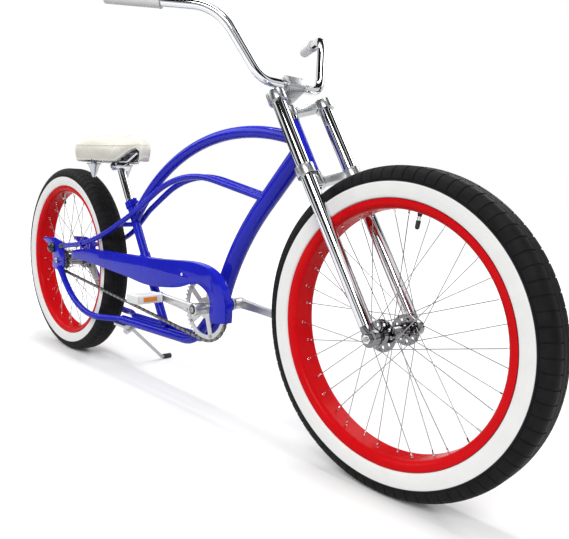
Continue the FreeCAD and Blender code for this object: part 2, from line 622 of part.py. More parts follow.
def make_down_tube(path_raw, head_raw, shell_raw):
    pieces = [path_raw]
    holes = []
    for number, (spot, outward) in enumerate(bottle_spots()):
        sunk = spot - outward * size("bottle_boss_height") * 2
        pieces.append(cylinder("bottle_boss_%d" % number, "sizes.bottle_boss_radius", "sizes.bottle_boss_height * 3",
                               sunk, outward))
        mouth = spot + outward * size("bottle_boss_height")
        holes.append(cylinder("bottle_hole_%d" % number, "sizes.bottle_hole_radius", "sizes.bottle_hole_depth",
                              mouth - outward * size("bottle_hole_depth"), outward))
    finish("down_tube", cut("down_tube", fused("down_tube_body", pieces), [head_raw, shell_raw] + holes))


def dropout_wire(side_position):
    return polygon([Vector(x * wheelbase, side_position, z * wheelbase) for x, z in dropout_shares])


def make_dropouts():
    plates = {}
    for side, word in ((1, "left"), (-1, "right")):
        inner = size("dropout_inner")
        face = inner if side > 0 else -inner - size("dropout_thickness")
        plate = extruded(word + "_dropout_plate", dropout_wire(face), "sizes.dropout_thickness")
        round_end = cross_cylinder(word + "_slot_end", "sizes.axle_radius", rear_hub,
                                   "-sizes.dropout_inner * %r" % overrun_share,
                                   "sizes.dropout_inner * %r" % overrun_share)
        corner = rear_hub + Vector(-size("cap_radius") * 4, -inner * overrun_share, -size("axle_radius"))
        slot = document.addObject("Part::Box", word + "_slot")
        slot.setExpression("Length", "sizes.cap_radius * 4")
        slot.setExpression("Width", "sizes.dropout_inner * %r" % (2 * overrun_share))
        slot.setExpression("Height", "sizes.axle_radius * 2")
        slot.Placement = Placement(corner, Rotation())
        plates[side] = plate
        finish(word + "_dropout", cut(word + "_dropout", plate, [fused(word + "_slot_tool", [round_end, slot])]))
    return plates


def lower_stay(word, side):
    corners = [shared_point(share, side) for share in stay_shares]
    tail_share = (size("sleeve_end") + size("sleeve_overlap") - corners[1].x) / (corners[2].x - corners[1].x)
    tail = corners[1] + (corners[2] - corners[1]) * tail_share
    front_share = (size("sleeve_end") - corners[1].x) / (corners[2].x - corners[1].x)
    sleeve = corners[1] + (corners[2] - corners[1]) * front_share
    thick = tube(word + "_bottom_tube", "sizes.bottom_tube_radius",
                 rounded_path([corners[0], corners[1], sleeve], [size("bottom_first_bend")]))
    thin = tube(word + "_chainstay", "sizes.chainstay_radius",
                rounded_path([tail] + corners[2:], [size("stay_side_bend"), size("stay_side_bend"),
                                                    size("stay_rear_bend")]))
    return fused(word + "_lower_stay_body", [thick, thin])


def arch_tube(word, side):
    corners = [shared_point(share, side) for share in arch_shares]
    path = rounded_path(corners, [size("arch_first_bend"), size("arch_side_bend"), size("arch_rear_bend")])
    return tube(word + "_arch_body", "sizes.arch_radius", path)


def top_tube():
    # One long arc from the head tube axis to the seat tube axis.
    radius = size("top_arc_radius")
    centre = Vector(size("top_arc_forward"), 0, size("top_arc_apex") - radius)

    def arc_point(forward):
        return Vector(forward, 0, centre.z + math.sqrt(radius ** 2 - (forward - centre.x) ** 2))

    def meet(base, way):
        offset = base - centre
        along = -offset.dot(way)
        return base + way * (along + math.sqrt(along ** 2 - offset.dot(offset) + radius ** 2))

    front, rear = meet(steer_point(0), rise), meet(seat_foot, seat_rise)
    arc = Part.Arc(front, arc_point((front.x + rear.x) / 2), rear).toShape()
    return tube("top_tube_body", "sizes.top_tube_radius", Part.Wire([arc]))


def make_frame():
    head_raw = cylinder("head_raw", "sizes.head_tube_radius", "sizes.head_tube_top - sizes.head_tube_bottom",
                        steer_point(size("head_tube_bottom")), rise)
    shell_raw = cross_cylinder("shell_raw", "sizes.bb_shell_radius", bottom_bracket, "-sizes.bb_half_width",
                               "sizes.bb_half_width")
    seat_raw = cylinder("seat_raw", "sizes.seat_tube_radius", "sizes.seat_tube_length",
                        post_point(-size("seat_tube_drop")), seat_rise)
    shell_room = cross_cylinder("shell_room", "sizes.bb_shell_radius", bottom_bracket,
                                "-(sizes.bb_half_width + sizes.cup_flange)", "sizes.bb_half_width + sizes.cup_flange")
    start, corner, first, last = down_tube_frame()
    down_raw = tube("down_raw", "sizes.down_tube_radius", rounded_path([start, corner, bottom_bracket],
                                                                       [size("down_bend")]))
    make_head(head_raw)
    make_down_tube(down_raw, head_raw, shell_raw)
    finish("top_tube", cut("top_tube", top_tube(), [head_raw, seat_raw]))
    plates = make_dropouts()
    stays, arches = {}, {}
    for side, word in ((1, "left"), (-1, "right")):
        stays[side] = lower_stay(word, side)
        arches[side] = arch_tube(word, side)
        finish(word + "_lower_stay", cut(word + "_lower_stay", stays[side], [shell_room, down_raw, plates[side]]))
        finish(word + "_arch_tube", cut(word + "_arch_tube", arches[side], [down_raw, plates[side]]))
    seat_bore = cylinder("seat_bore", "sizes.seat_bore_radius", "sizes.seat_bore_depth",
                         post_point(size("seat_tube_length") - size("seat_tube_drop") - size("seat_bore_depth")),
                         seat_rise)
    finish("seat_tube", cut("seat_tube", seat_raw, [seat_bore, stays[1], stays[-1]]))
    bridge_at = Vector(size("bridge_forward"), 0, size("bridge_height"))
    bridge = cross_cylinder("bridge_raw", "sizes.bridge_radius", bridge_at, "-sizes.bridge_reach",
                            "sizes.bridge_reach")
    finish("stay_bridge", cut("stay_bridge", bridge, [arches[1], arches[-1]]))
    shell_bore = cross_cylinder("shell_bore", "sizes.bb_bore_radius", bottom_bracket, "-sizes.bb_half_width",
                                "sizes.bb_half_width")
    finish("bb_shell", cut("bb_shell", shell_raw, [shell_bore]))
    return seat_raw, arches


def make_collar(seat_raw):
    top = size("seat_tube_length") - size("seat_tube_drop")
    base = post_point(top - size("collar_height"))
    ring = cylinder("collar_ring", "sizes.collar_radius", "sizes.collar_height", base, seat_rise)
    back = seat_rise.cross(across)
    ear = tilted_box("collar_ear", "sizes.collar_ear_reach", "sizes.collar_ear_width", "sizes.collar_height",
                     base - across * (size("collar_ear_width") / 2), back * -1, seat_rise)
    spot = base + seat_rise * (size("collar_height") / 2) - back * (size("collar_ear_reach") * collar_bolt_share)
    bolt = cross_cylinder("collar_bolt", "sizes.collar_bolt_radius", spot, "-sizes.collar_bolt_length / 2",
                          "sizes.collar_bolt_length / 2")
    finish("seat_collar", cut("seat_collar", fused("collar_body", [ring, ear, bolt]), [seat_raw]))


def pitch_radius(teeth):
    return size("chain_pitch") / (2 * math.sin(math.pi / teeth))


def toothed_wire(centre, teeth):
    root = pitch_radius(teeth) - size("tooth_root")
    tip = pitch_radius(teeth) + size("tooth_height")
    spots = []
    for number in range(teeth):
        for share, radius in zip(tooth_shares, (root, tip, tip, root)):
            turn = 2 * math.pi * (number + share) / teeth
            spots.append(centre + Vector(math.cos(turn), 0, math.sin(turn)) * radius)
    return polygon(spots)


def window_wire(centre, turn):
    # One opening between two chainring arms, bounded by two arcs and two straight sides.
    half_gap = math.pi / size("ring_arms")
    spots = []
    for radius in (size("ring_window_inner"), size("ring_window_outer")):
        lean = half_gap - math.asin(size("ring_arm_half_width") / radius)
        spots.append([centre + Vector(math.cos(turn + way * lean), 0, math.sin(turn + way * lean)) * radius
                      for way in (-1, 0, 1)])
    inner, outer = spots
    edges = [Part.Arc(*inner).toShape(), Part.makeLine(inner[2], outer[2]),
             Part.Arc(outer[2], outer[1], outer[0]).toShape(), Part.makeLine(outer[0], inner[0])]
    return Part.Wire(edges)


def make_crank():
    lean = math.radians(size("crank_angle"))
    way = Vector(-math.cos(lean), 0, math.sin(lean)) * size("crank_length")
    spindle = cross_cylinder("crank_spindle", "sizes.spindle_radius", bottom_bracket,
                             "-(sizes.right_arm_outer + sizes.spindle_proud)",
                             "sizes.left_arm_outer + sizes.spindle_proud")
    finish("crank_spindle", spindle)
    axles = []
    for side, word in ((1, "left"), (-1, "right")):
        inner, outer = size(word + "_arm_inner"), size(word + "_arm_outer")
        start = bottom_bracket + across * (inner if side > 0 else -outer)
        tip = start + way * (-1 if side > 0 else 1)
        arm_wire = link_wire(start, size("crank_boss_radius"), tip, size("crank_tip_radius"))
        plate = extruded(word + "_arm_plate", arm_wire, "sizes.%s_arm_outer - sizes.%s_arm_inner" % (word, word))
        near, far = ("sizes.%s_boss_inner" % word, "sizes.%s_arm_outer" % word)
        if side < 0:
            near, far = "-" + far, "-" + near
        boss = cross_cylinder(word + "_arm_boss", "sizes.crank_boss_radius", bottom_bracket, near, far)
        end = "sizes.%s_arm_outer + sizes.pedal_gap + sizes.pedal_length - sizes.pedal_end_wall * 2" % word
        begin = "sizes.%s_arm_inner" % word
        if side < 0:
            begin, end = "-(%s)" % end, "-" + begin
        axle = cross_cylinder(word + "_pedal_axle", "sizes.pedal_axle_radius", tip, begin, end)
        axles.append(axle)
        arm = fused(word + "_arm_body", [plate, boss])
        finish(word + "_crank_arm", cut(word + "_crank_arm", arm, [spindle, axle]))
        make_pedal(word, side, tip, axle)
    group = document.addObject("Part::Compound", "pedal_axles")
    group.Links = axles
    finish("pedal_axles", group)
    make_chainring(spindle)


def rounded_rectangle(centre, length, height, radius):
    corners = []
    for x, z in ((1, 1), (-1, 1), (-1, -1), (1, -1)):
        corners.append(centre + Vector(x * length / 2, 0, z * height / 2))
    middle = (corners[3] + corners[0]) * 0.5
    path = rounded_path([middle] + corners + [middle], [radius] * 4)
    return path


def make_pedal(word, side, tip, axle):
    begin = size(word + "_arm_outer") + size("pedal_gap")
    base = begin if side > 0 else -begin - size("pedal_length")
    centre = Vector(tip.x, base, tip.z)
    block = extruded(word + "_pedal_block", rounded_rectangle(centre, size("pedal_width"), size("pedal_height"),
                                                             size("pedal_corner")), "sizes.pedal_length")
    first = "sizes.%s_arm_outer" % word
    last = first + " + sizes.pedal_gap + sizes.pedal_length - sizes.pedal_end_wall"
    if side < 0:
        first, last = "-(%s)" % last, "-" + first
    bore = cross_cylinder(word + "_pedal_bore", "sizes.pedal_axle_radius + sizes.running_gap", tip, first, last)
    finish(word + "_pedal", cut(word + "_pedal", block, [bore]))


def make_chainring(spindle):
    teeth, arms = int(size("ring_teeth")), int(size("ring_arms"))
    centre = bottom_bracket - across * (size("chain_line") + size("ring_thickness") / 2)
    plate = extruded("ring_plate", toothed_wire(centre, teeth), "sizes.ring_thickness")
    windows = []
    for number in range(arms):
        turn = 2 * math.pi * (number + 0.5) / arms
        windows.append(extruded("ring_window_%d" % number, window_wire(centre, turn), "sizes.ring_thickness"))
    finish("chainring", cut("chainring", plate, windows + [spindle]))


def make_sprocket():
    centre = rear_hub - across * (size("chain_line") + size("ring_thickness") / 2)
    plate = extruded("sprocket_plate", toothed_wire(centre, int(size("sprocket_teeth"))), "sizes.ring_thickness")
    sleeve = cross_cylinder("sprocket_sleeve", "sizes.sprocket_sleeve_radius", rear_hub,
                            "-(sizes.chain_line + sizes.sprocket_sleeve_half)",
                            "-(sizes.chain_line - sizes.sprocket_sleeve_half)")
    bore = cross_cylinder("sprocket_bore", "sizes.axle_radius + sizes.running_gap", rear_hub,
                          "-(sizes.chain_line + sizes.sprocket_sleeve_half)",
                          "-(sizes.chain_line - sizes.sprocket_sleeve_half)")
    finish("rear_sprocket", cut("rear_sprocket", fused("sprocket_body", [plate, sleeve]), [bore]))


def chain_track():
    # Pitch points round both wheels, with the outward direction at each and whether it lies on a straight run.
    big, small = pitch_radius(size("ring_teeth")), pitch_radius(size("sprocket_teeth"))
    gap = bottom_bracket - rear_hub
    base = math.atan2(gap.z, gap.x)
    lean = math.asin((big - small) / gap.Length)
    run = math.sqrt(gap.Length ** 2 - (big - small) ** 2)
    wraps = (big * (math.pi + 2 * lean), small * (math.pi - 2 * lean))
    total = 2 * run + sum(wraps)
    count = 2 * round(total / size("chain_pitch") / 2)
    top_turn = base + math.pi / 2 + lean
    low_turn = base - math.pi / 2 - lean

    def facing(turn):
        return Vector(math.cos(turn), 0, math.sin(turn))

    track = []
    for number in range(2 * count):
        travel = total * number / (2 * count)
        if travel < run:
            outward = facing(top_turn)
            track.append((rear_hub + outward * small + (facing(base + lean) * travel), outward, True))
        elif travel < run + wraps[0]:
            outward = facing(top_turn - (travel - run) / big)
            track.append((bottom_bracket + outward * big, outward, False))
        elif travel < 2 * run + wraps[0]:
            outward = facing(low_turn)
            back = facing(base - lean) * -1
            track.append((bottom_bracket + outward * big + back * (travel - run - wraps[0]), outward, True))
        else:
            outward = facing(low_turn - (travel - 2 * run - wraps[0]) / small)
            track.append((rear_hub + outward * small, outward, False))
    return track


def make_chain():
    # Two waisted link strips with rollers between them on the straight runs.
    track = chain_track()
    tall, waist = size("chain_half_height"), size("chain_waist")
    big, small = pitch_radius(size("ring_teeth")), pitch_radius(size("sprocket_teeth"))
    solids = []
    for side in (1, -1):
        inner = -size("chain_line") + side * size("chain_gap")
        plane = across * (inner if side > 0 else inner - size("chain_plate"))
        loops = []
        for way in (1, -1):
            spots = []
            for number, (point, outward, straight) in enumerate(track):
                spots.append(point + outward * (way * (waist if number % 2 else tall)) + plane)
            edges = [Part.Arc(spots[step], spots[step + 1], spots[(step + 2) % len(spots)]).toShape()
                     for step in range(0, len(spots), 2)]
            loops.append(Part.Wire(edges))
        face = Part.Face(loops[0]).cut(Part.Face(loops[1]))
        solids += face.extrude(across * size("chain_plate")).Solids
    for number in range(0, len(track), 2):
        point, outward, straight = track[number]
        clear = min((point - rear_hub).Length - small, (point - bottom_bracket).Length - big)
        if straight and clear > size("chain_pitch") / 2:
            base = point - across * (size("chain_line") + size("chain_gap"))
            solids.append(Part.makeCylinder(size("roller_radius"), size("chain_gap") * 2, base, across))
    finish("drive_chain", outline("drive_chain", Part.makeCompound(solids)))


def guard_wire(plane, drop=0):
    # A smooth upper edge round the front, a straight lower end, a smooth lower edge and a straight rear end.
    spots = [Vector(x * wheelbase - drop, plane, z * wheelbase - drop) for x, z in guard_shares]
    turn = guard_upper_count
    upper, lower = Part.BSplineCurve(), Part.BSplineCurve()
    upper.interpolate(spots[:turn])
    lower.interpolate(spots[turn:])
    edges = [upper.toShape(), Part.makeLine(spots[turn - 1], spots[turn])]
    edges += [lower.toShape(), Part.makeLine(spots[-1], spots[0])]
    return Part.Wire(edges)


def make_guard(seat_raw, arches):
    face, sheet_gauge = size("guard_face"), size("guard_sheet")
    full = extruded("guard_full", guard_wire(-face), "sizes.guard_depth")
    hollow = extruded("guard_hollow", guard_wire(-face + sheet_gauge, sheet_gauge), "sizes.guard_depth")
    finish("chainguard", cut("chainguard", full, [hollow]))
    half = size("guard_strap_width") / 2
    ring_base = post_point((size("strap_height") - seat_foot.z) / seat_rise.z) - seat_rise * half
    ring = cylinder("strap_ring", "sizes.strap_collar_radius", "sizes.guard_strap_width", ring_base, seat_rise)
    tab = document.addObject("Part::Box", "strap_tab")
    tab.setExpression("Length", "sizes.guard_strap_width")
    tab.setExpression("Width", "sizes.guard_face - sizes.guard_sheet")
    tab.setExpression("Height", "sizes.guard_strap_sheet")
    tab.Placement = Placement(Vector(ring_base.x - half, -face + sheet_gauge, size("strap_height")), Rotation())
    seat_strap = cut("seat_strap", fused("seat_strap_body", [ring, tab]), [seat_raw])
    forward = size("clip_forward")
    section = arches[-1].Shape.slice(Vector(1, 0, 0), forward)
    spot = section[0].BoundBox.Center
    wide = size("clip_width")
    ring_clip = cylinder("clip_ring", "sizes.arch_radius + sizes.clip_wall", "sizes.clip_width",
                         Vector(forward - wide / 2, spot.y, spot.z), Vector(1, 0, 0))
    drop = document.addObject("Part::Box", "clip_tab")
    drop.setExpression("Length", "sizes.clip_width")
    drop.setExpression("Width", "sizes.clip_wall")
    drop.Height = spot.z - size("clip_tab_bottom")
    drop.Placement = Placement(Vector(forward - wide / 2, -face + sheet_gauge, size("clip_tab_bottom")), Rotation())
    rear_clip = cut("rear_clip", fused("rear_clip_body", [ring_clip, drop]), [arches[-1], full])
    group = document.addObject("Part::Compound", "chainguard_brackets")
    group.Links = [seat_strap, rear_clip]
    finish("chainguard_brackets", group)


def make_small_frame_pieces():
    cups = []
    for side, word in ((1, "left"), (-1, "right")):
        near, mid = "sizes.bb_half_width - sizes.cup_depth", "sizes.bb_half_width"
        far = "sizes.bb_half_width + sizes.cup_flange"
        if side < 0:
            near, far, mid = "-(%s)" % far, "-(%s)" % near, "-" + mid
        body = cross_cylinder(word + "_cup_body", "sizes.bb_bore_radius", bottom_bracket, near, far)
        rim_span = (mid, far) if side > 0 else (near, mid)
        rim = cross_cylinder(word + "_cup_rim", "sizes.bb_shell_radius", bottom_bracket, rim_span[0], rim_span[1])
        bore = cross_cylinder(word + "_cup_bore", "sizes.spindle_radius + sizes.running_gap", bottom_bracket,
                              near, far)
        cups.append(cut(word + "_cup", fused(word + "_cup_whole", [body, rim]), [bore]))
    group = document.addObject("Part::Compound", "bb_cups")
    group.Links = cups
    finish("bb_cups", group)
    outer = -size("dropout_inner") - size("dropout_thickness")
    cap_at = Vector(size("cap_forward"), outer - size("cap_depth"), size("cap_height"))
    dome = document.addObject("Part::Cone", "stay_cap")
    dome.setExpression("Radius1", "sizes.cap_radius")
    dome.setExpression("Radius2", "sizes.cap_radius * %r" % cap_top_share)
    dome.setExpression("Height", "sizes.cap_depth")
    dome.Placement = Placement(cap_at + across * size("cap_depth"), turned(across * -1))
    finish("stay_cap", dome)


def make_brake_arm(left_stay):
    tip = Vector(size("brake_tip_forward"), size("brake_arm_inner"), size("brake_tip_height"))
    start = rear_hub + across * size("brake_arm_inner")
    plate = extruded("brake_plate", link_wire(start, size("brake_hub_radius"), tip, size("brake_tip_radius")),
                     "sizes.brake_arm_outer - sizes.brake_arm_inner")
    head = cross_cylinder("brake_head", "sizes.brake_bolt_head", tip,
                          "sizes.brake_arm_inner - sizes.brake_bolt_proud", "sizes.brake_arm_inner")
    shank = cross_cylinder("brake_shank", "sizes.brake_bolt_radius", tip, "sizes.brake_arm_inner",
                           "sizes.brake_arm_outer + sizes.brake_bolt_reach")
    bore = cross_cylinder("brake_bore", "sizes.axle_radius", rear_hub, "-sizes.brake_arm_outer * %r" % overrun_share,
                          "sizes.brake_arm_outer * %r" % overrun_share)
    finish("brake_arm", cut("brake_arm", fused("brake_body", [plate, head, shank]), [bore, left_stay]))


def kickstand_axis():
    # A pivot line that carries the leg from parked to folded and first presses the foot down,
    # so that a load on the foot holds it against its stop.
    pivot = Vector(size("kick_forward"), size("kick_side"), size("kick_height"))
    foot = Vector(size("kick_foot_forward"), size("kick_foot_side"), size("kick_foot_height"))
    parked = (foot - pivot).normalize()
    folded = Vector(*folded_shares).normalize()
    lean = math.radians(size("kick_axis_lean"))
    middle = (parked + folded).normalize()
    axis = middle * math.cos(lean) + parked.cross(folded).normalize() * math.sin(lean)
    first = parked - axis * parked.dot(axis)
    last = folded - axis * folded.dot(axis)
    return pivot, axis, math.degrees(first.getAngle(last))


def make_kickstand():
    pivot, axis, travel = kickstand_axis()
    foot = Vector(size("kick_foot_forward"), size("kick_foot_side"), size("kick_foot_height"))
    tip = Vector(size("kick_tip_forward"), size("kick_tip_side"), size("kick_tip_height"))
    rod = tube("kick_rod", "sizes.kick_rod_radius", rounded_path([pivot, foot, tip], [size("kick_bend")]))
    half = size("kick_head_half")
    head = cylinder("kick_head", "sizes.kick_head_radius", "sizes.kick_head_half * 2", pivot - axis * half, axis)
    bore = cylinder("kick_bore", "sizes.kick_pin_radius + sizes.running_gap", "sizes.kick_head_half * 2",
                    pivot - axis * half, axis)
    leg = finish("kickstand_leg", cut("kickstand_leg", fused("kick_leg_body", [rod, head]), [bore]))
    way = (tip - foot).normalize()
    rubber = cylinder("foot_rubber", "sizes.foot_radius", "sizes.foot_length",
                      tip + way * size("foot_end") - way * size("foot_length"), way)
    ground = document.addObject("Part::Box", "foot_ground")
    ground.setExpression("Length", "sizes.foot_length * 4")
    ground.setExpression("Width", "sizes.foot_length * 4")
    ground.setExpression("Height", "sizes.foot_radius * 2")
    reach = size("foot_length") * 2
    ground.Placement = Placement(Vector(tip.x - reach, tip.y - reach, -size("foot_radius") * 2), Rotation())
    finish("kickstand_foot", cut("kickstand_foot", rubber, [ground, leg]))
    low = half + size("side_gap")
    boss_base = pivot - axis * (low + size("kick_boss_length"))
    pin = cylinder("kick_pin", "sizes.kick_pin_radius", "sizes.kick_head_half * 2 + sizes.side_gap",
                   pivot - axis * low, axis)
    boss = cylinder("kick_boss", "sizes.kick_head_radius", "sizes.kick_boss_length", boss_base, axis)
    tube_bottom = stay_shares[2][2] * wheelbase - size("bottom_tube_radius")
    plate = document.addObject("Part::Box", "kick_plate")
    plate.setExpression("Length", "sizes.kick_plate_length")
    plate.setExpression("Width", "sizes.kick_plate_half_width * 2")
    plate.setExpression("Height", "sizes.kick_plate_thickness")
    plate_corner = Vector(pivot.x - size("kick_plate_length") * kick_plate_back_share,
                          -size("kick_plate_half_width"), tube_bottom - size("kick_plate_thickness"))
    plate.Placement = Placement(plate_corner, Rotation())
    web = document.addObject("Part::Box", "kick_web")
    web.setExpression("Length", "sizes.kick_web_half_length * 2")
    web.setExpression("Width", "sizes.kick_web_width")
    middle = boss_base + axis * (size("kick_boss_length") / 2)
    web.Height = tube_bottom - middle.z + size("kick_pin_radius")
    web_bottom = middle.z - size("kick_pin_radius")
    web.Placement = Placement(Vector(middle.x - size("kick_web_half_length"), -size("kick_web_width"), web_bottom),
                              Rotation())
    finish("kickstand_bracket", fused("kickstand_bracket", [plate, pin, boss, web]))


def saddle_wire(level, share, inset=0):
    # A smooth closed outline of the saddle at one level, drawn in by an inset.
    nose, length, half = size("saddle_nose"), size("saddle_length"), size("saddle_half_width")
    middle = length * saddle_middle_share
    spots = []
    for back, out in saddle_shares:
        along = (back * length - middle) * share
        along = along - math.copysign(min(inset, abs(along)), along)
        spots.append((nose - middle - along, max(out * half * share - inset, 0)))
    ring = [Vector(x, y, level) for x, y in spots]
    ring += [Vector(x, -y, level) for x, y in spots[-2:0:-1]]
    curve = Part.BSplineCurve()
    curve.interpolate(Points=ring, PeriodicFlag=True)
    return Part.Wire([curve.toShape()])


def make_saddle():
    bottom, height = size("saddle_bottom"), size("saddle_height")
    levels = []
    for number, (up, share) in enumerate(cushion_shares):
        levels.append(outline("cushion_level_%d" % number, saddle_wire(bottom + up * height, share)))
    whole = document.addObject("Part::Loft", "cushion_whole")
    whole.Sections = levels
    whole.Solid = True
    wall = size("saddle_wall")
    pan_top = size("pan_bottom") + size("pan_thickness")
    hollow = document.addObject("Part::Extrusion", "cushion_hollow")
    hollow.Base = outline("hollow_outline", Part.Face(saddle_wire(bottom - wall, pan_plan_share, wall)))
    hollow.DirMode = "Custom"
    hollow.Dir = Vector(0, 0, 1)
    hollow.LengthFwd = pan_top - bottom + wall
    hollow.Solid = True
    side = -size("saddle_half_width") * overrun_share
    arch_spots = [Vector(size("saddle_nose") - back * size("saddle_length"), side, bottom + up * height)
                  for back, up in skirt_shares]
    arch_curve = Part.BSplineCurve()
    arch_curve.interpolate(arch_spots)
    arch_wire = Part.Wire([arch_curve.toShape(), Part.makeLine(arch_spots[-1], arch_spots[0])])
    arch = extruded("skirt_arch", arch_wire, "sizes.saddle_half_width * %r" % (2 * overrun_share))
    finish("saddle_cushion", cut("saddle_cushion", whole, [hollow, arch]))
    pan = document.addObject("Part::Extrusion", "saddle_pan")
    pan.Base = outline("pan_outline", Part.Face(saddle_wire(size("pan_bottom"), pan_plan_share,
                                                               wall + size("pan_inset"))))
    pan.DirMode = "Custom"
    pan.Dir = Vector(0, 0, 1)
    pan.setExpression("LengthFwd", "sizes.pan_thickness")
    pan.Solid = True
    finish("saddle_pan", pan)
    make_saddle_hardware(pan)


def make_saddle_hardware(pan):
    nose, length = size("saddle_nose"), size("saddle_length")
    clamp = post_point(size("post_top")) + seat_rise * size("clamp_rise")
    post = cylinder("seatpost", "sizes.post_radius", "sizes.post_insert + sizes.post_top - sizes.seat_tube_length"
                    " + sizes.seat_tube_drop", post_point(size("seat_tube_length") - size("seat_tube_drop")
                                                         - size("post_insert")), seat_rise)
    barrel = cross_cylinder("clamp_barrel", "sizes.clamp_radius", clamp, "-sizes.clamp_half_length",
                            "sizes.clamp_half_length")
    bolt = cross_cylinder("clamp_bolt", "sizes.clamp_bolt_radius", clamp, "-sizes.clamp_bolt_half_length",
                          "sizes.clamp_bolt_half_length")
    nut = cross_cylinder("clamp_nut", "sizes.clamp_nut_radius", clamp,
                         "-sizes.clamp_bolt_half_length * %r" % clamp_nut_share,
                         "sizes.clamp_bolt_half_length * %r" % clamp_nut_share)
    rail_level = clamp.z + size("rail_drop")
    drop = size("pan_bottom") - rail_level
    rails = []
    for side, word in ((1, "left"), (-1, "right")):
        corners = []
        for back, out, up in rail_shares:
            corners.append(Vector(nose - back * length, side * out * size("rail_half_gap"),
                                  rail_level + (drop + size("rail_radius") * rail_sink_share) * (1 if up else 0)))
        path = rounded_path(corners, [size("rail_bend"), size("rail_bend")])
        rails.append(tube(word + "_rail", "sizes.rail_radius", path))
    trimmed = [cut(word + "_rail_cut", rail, [pan]) for rail, word in zip(rails, ("left", "right"))]
    group = document.addObject("Part::Compound", "saddle_rails")
    group.Links = trimmed
    finish("saddle_rails", group)
    seat = cross_cylinder("clamp_seat", "sizes.clamp_radius + sizes.running_gap", clamp, "-sizes.clamp_half_length",
                          "sizes.clamp_half_length")
    finish("seatpost", cut("seatpost", post, [seat]))
    finish("saddle_clamp", cut("saddle_clamp", fused("clamp_body", [barrel, bolt, nut]), rails))
    cones = []
    for side in (1, -1):
        top = Vector(size("bumper_forward"), side * size("bumper_side"), size("pan_bottom"))
        down = Vector(0, 0, -1)
        stem = Part.makeCylinder(size("bumper_stem_radius"), size("bumper_stem_length"), top, down)
        top = top + down * size("bumper_stem_length")
        plate = Part.makeCylinder(size("bumper_plate_radius"), size("bumper_plate"), top, down)
        top = top + down * size("bumper_plate")
        cone = Part.makeCone(size("bumper_radius"), size("bumper_tip_radius"), size("bumper_height"), top, down)
        cones.append(stem.fuse(plate).fuse(cone).removeSplitter())
    finish("saddle_bumpers", outline("saddle_bumpers", Part.makeCompound(cones)))


def export_parts():
    document.recompute()
    os.makedirs("parts", exist_ok=True)
    faults = [item.Name for item in document.Objects if "Invalid" in item.State or "Error" in item.State]
    for node, item in finished.items():
        shape = item.Shape
        if shape.isNull() or not shape.isValid() or not shape.Solids:
            faults.append(node)
            continue
        shape.exportStep("parts/%s.step" % node)
        print("%-20s solids %3d volume %10.0f box %s" % (node, len(shape.Solids), shape.Volume, shape.BoundBox))
    print("faults:", faults)
    if faults:
        raise RuntimeError("some pieces did not build")


make_wheels()
make_front_axle()
make_rear_axle()
steerer_solid = make_fork()
make_stem(steerer_solid)
make_handlebar()
seat_tube_solid, arch_solids = make_frame()
make_collar(seat_tube_solid)
make_crank()
make_sprocket()
make_chain()
document.recompute()
make_guard(seat_tube_solid, arch_solids)
make_small_frame_pieces()
make_brake_arm(document.getObject("left_lower_stay_body"))
make_kickstand()
make_saddle()
export_parts()


def print_joint_facts():
    # Positions in mm that the record repeats in metres.
    for spot, outward in bottle_spots():
        print("bottle mouth", spot + outward * size("bottle_boss_height"), outward)
    pivot, axis, travel = kickstand_axis()
    print("kickstand", pivot, axis, travel)
    print("steering", steer_point(0), rise)
    print("bar clamp", steer_point(size("stem_height"), size("stem_forward")))
    print("saddle clamp", post_point(size("post_top") + size("clamp_rise")), seat_rise)


print_joint_facts()
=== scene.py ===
import bmesh
import bpy
from math import asin, atan2, copysign, cos, pi, radians, sin, sqrt
from mathutils import Matrix, Vector
from mathutils.bvhtree import BVHTree


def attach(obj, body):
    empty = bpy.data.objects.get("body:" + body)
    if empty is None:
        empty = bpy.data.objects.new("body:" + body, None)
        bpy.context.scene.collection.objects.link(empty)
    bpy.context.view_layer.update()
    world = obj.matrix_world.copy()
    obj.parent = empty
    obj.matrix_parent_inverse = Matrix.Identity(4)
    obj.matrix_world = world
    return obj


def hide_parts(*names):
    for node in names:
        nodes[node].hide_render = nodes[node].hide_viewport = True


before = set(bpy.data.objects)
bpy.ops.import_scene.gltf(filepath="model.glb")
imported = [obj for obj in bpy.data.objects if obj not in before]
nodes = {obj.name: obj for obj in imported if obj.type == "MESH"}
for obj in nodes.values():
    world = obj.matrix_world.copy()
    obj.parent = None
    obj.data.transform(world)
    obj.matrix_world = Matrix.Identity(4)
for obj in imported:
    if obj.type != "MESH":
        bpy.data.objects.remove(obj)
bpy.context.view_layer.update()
scene = bpy.context.scene
scene.view_settings.view_transform = "Standard"
print("frame loaded:", len(nodes), "nodes")

frontHub = Vector((0.758, 0, 0.354))
rearHub = Vector((-0.758, 0, 0.354))
wheels = (("front", frontHub), ("rear", rearHub))
sides = (("left", 1), ("right", -1))
bracket = Vector((0.163, 0, 0.316))
acrossAxis = Vector((0, 1, 0))
upAxis = Vector((0, 0, 1))
white = (1, 1, 1, 1)


def facing(turn):
    # a unit vector in the plane of the wheels
    return Vector((cos(turn), 0, sin(turn)))


def linked(name, data):
    thing = bpy.data.objects.new(name, data)
    scene.collection.objects.link(thing)
    return thing


def newMesh(name, points, faces, edges=()):
    mesh = bpy.data.meshes.new(name)
    mesh.from_pydata([tuple(point) for point in points], edges, faces)
    return mesh


# helpers for node trees: a socket is linked, any other value is set on the node's own input
def fill(tree, node, values):
    for key, value in values.items():
        if isinstance(value, bpy.types.NodeSocket):
            tree.links.new(value, node.inputs[key])
        else:
            node.inputs[key].default_value = value


def put(tree, kind, values=None, **settings):
    node = tree.nodes.new(kind)
    for key, value in settings.items():
        setattr(node, key, value)
    fill(tree, node, values or {})
    return node


def maths(tree, operation, first, second):
    return put(tree, "ShaderNodeMath", {0: first, 1: second}, operation=operation).outputs[0]


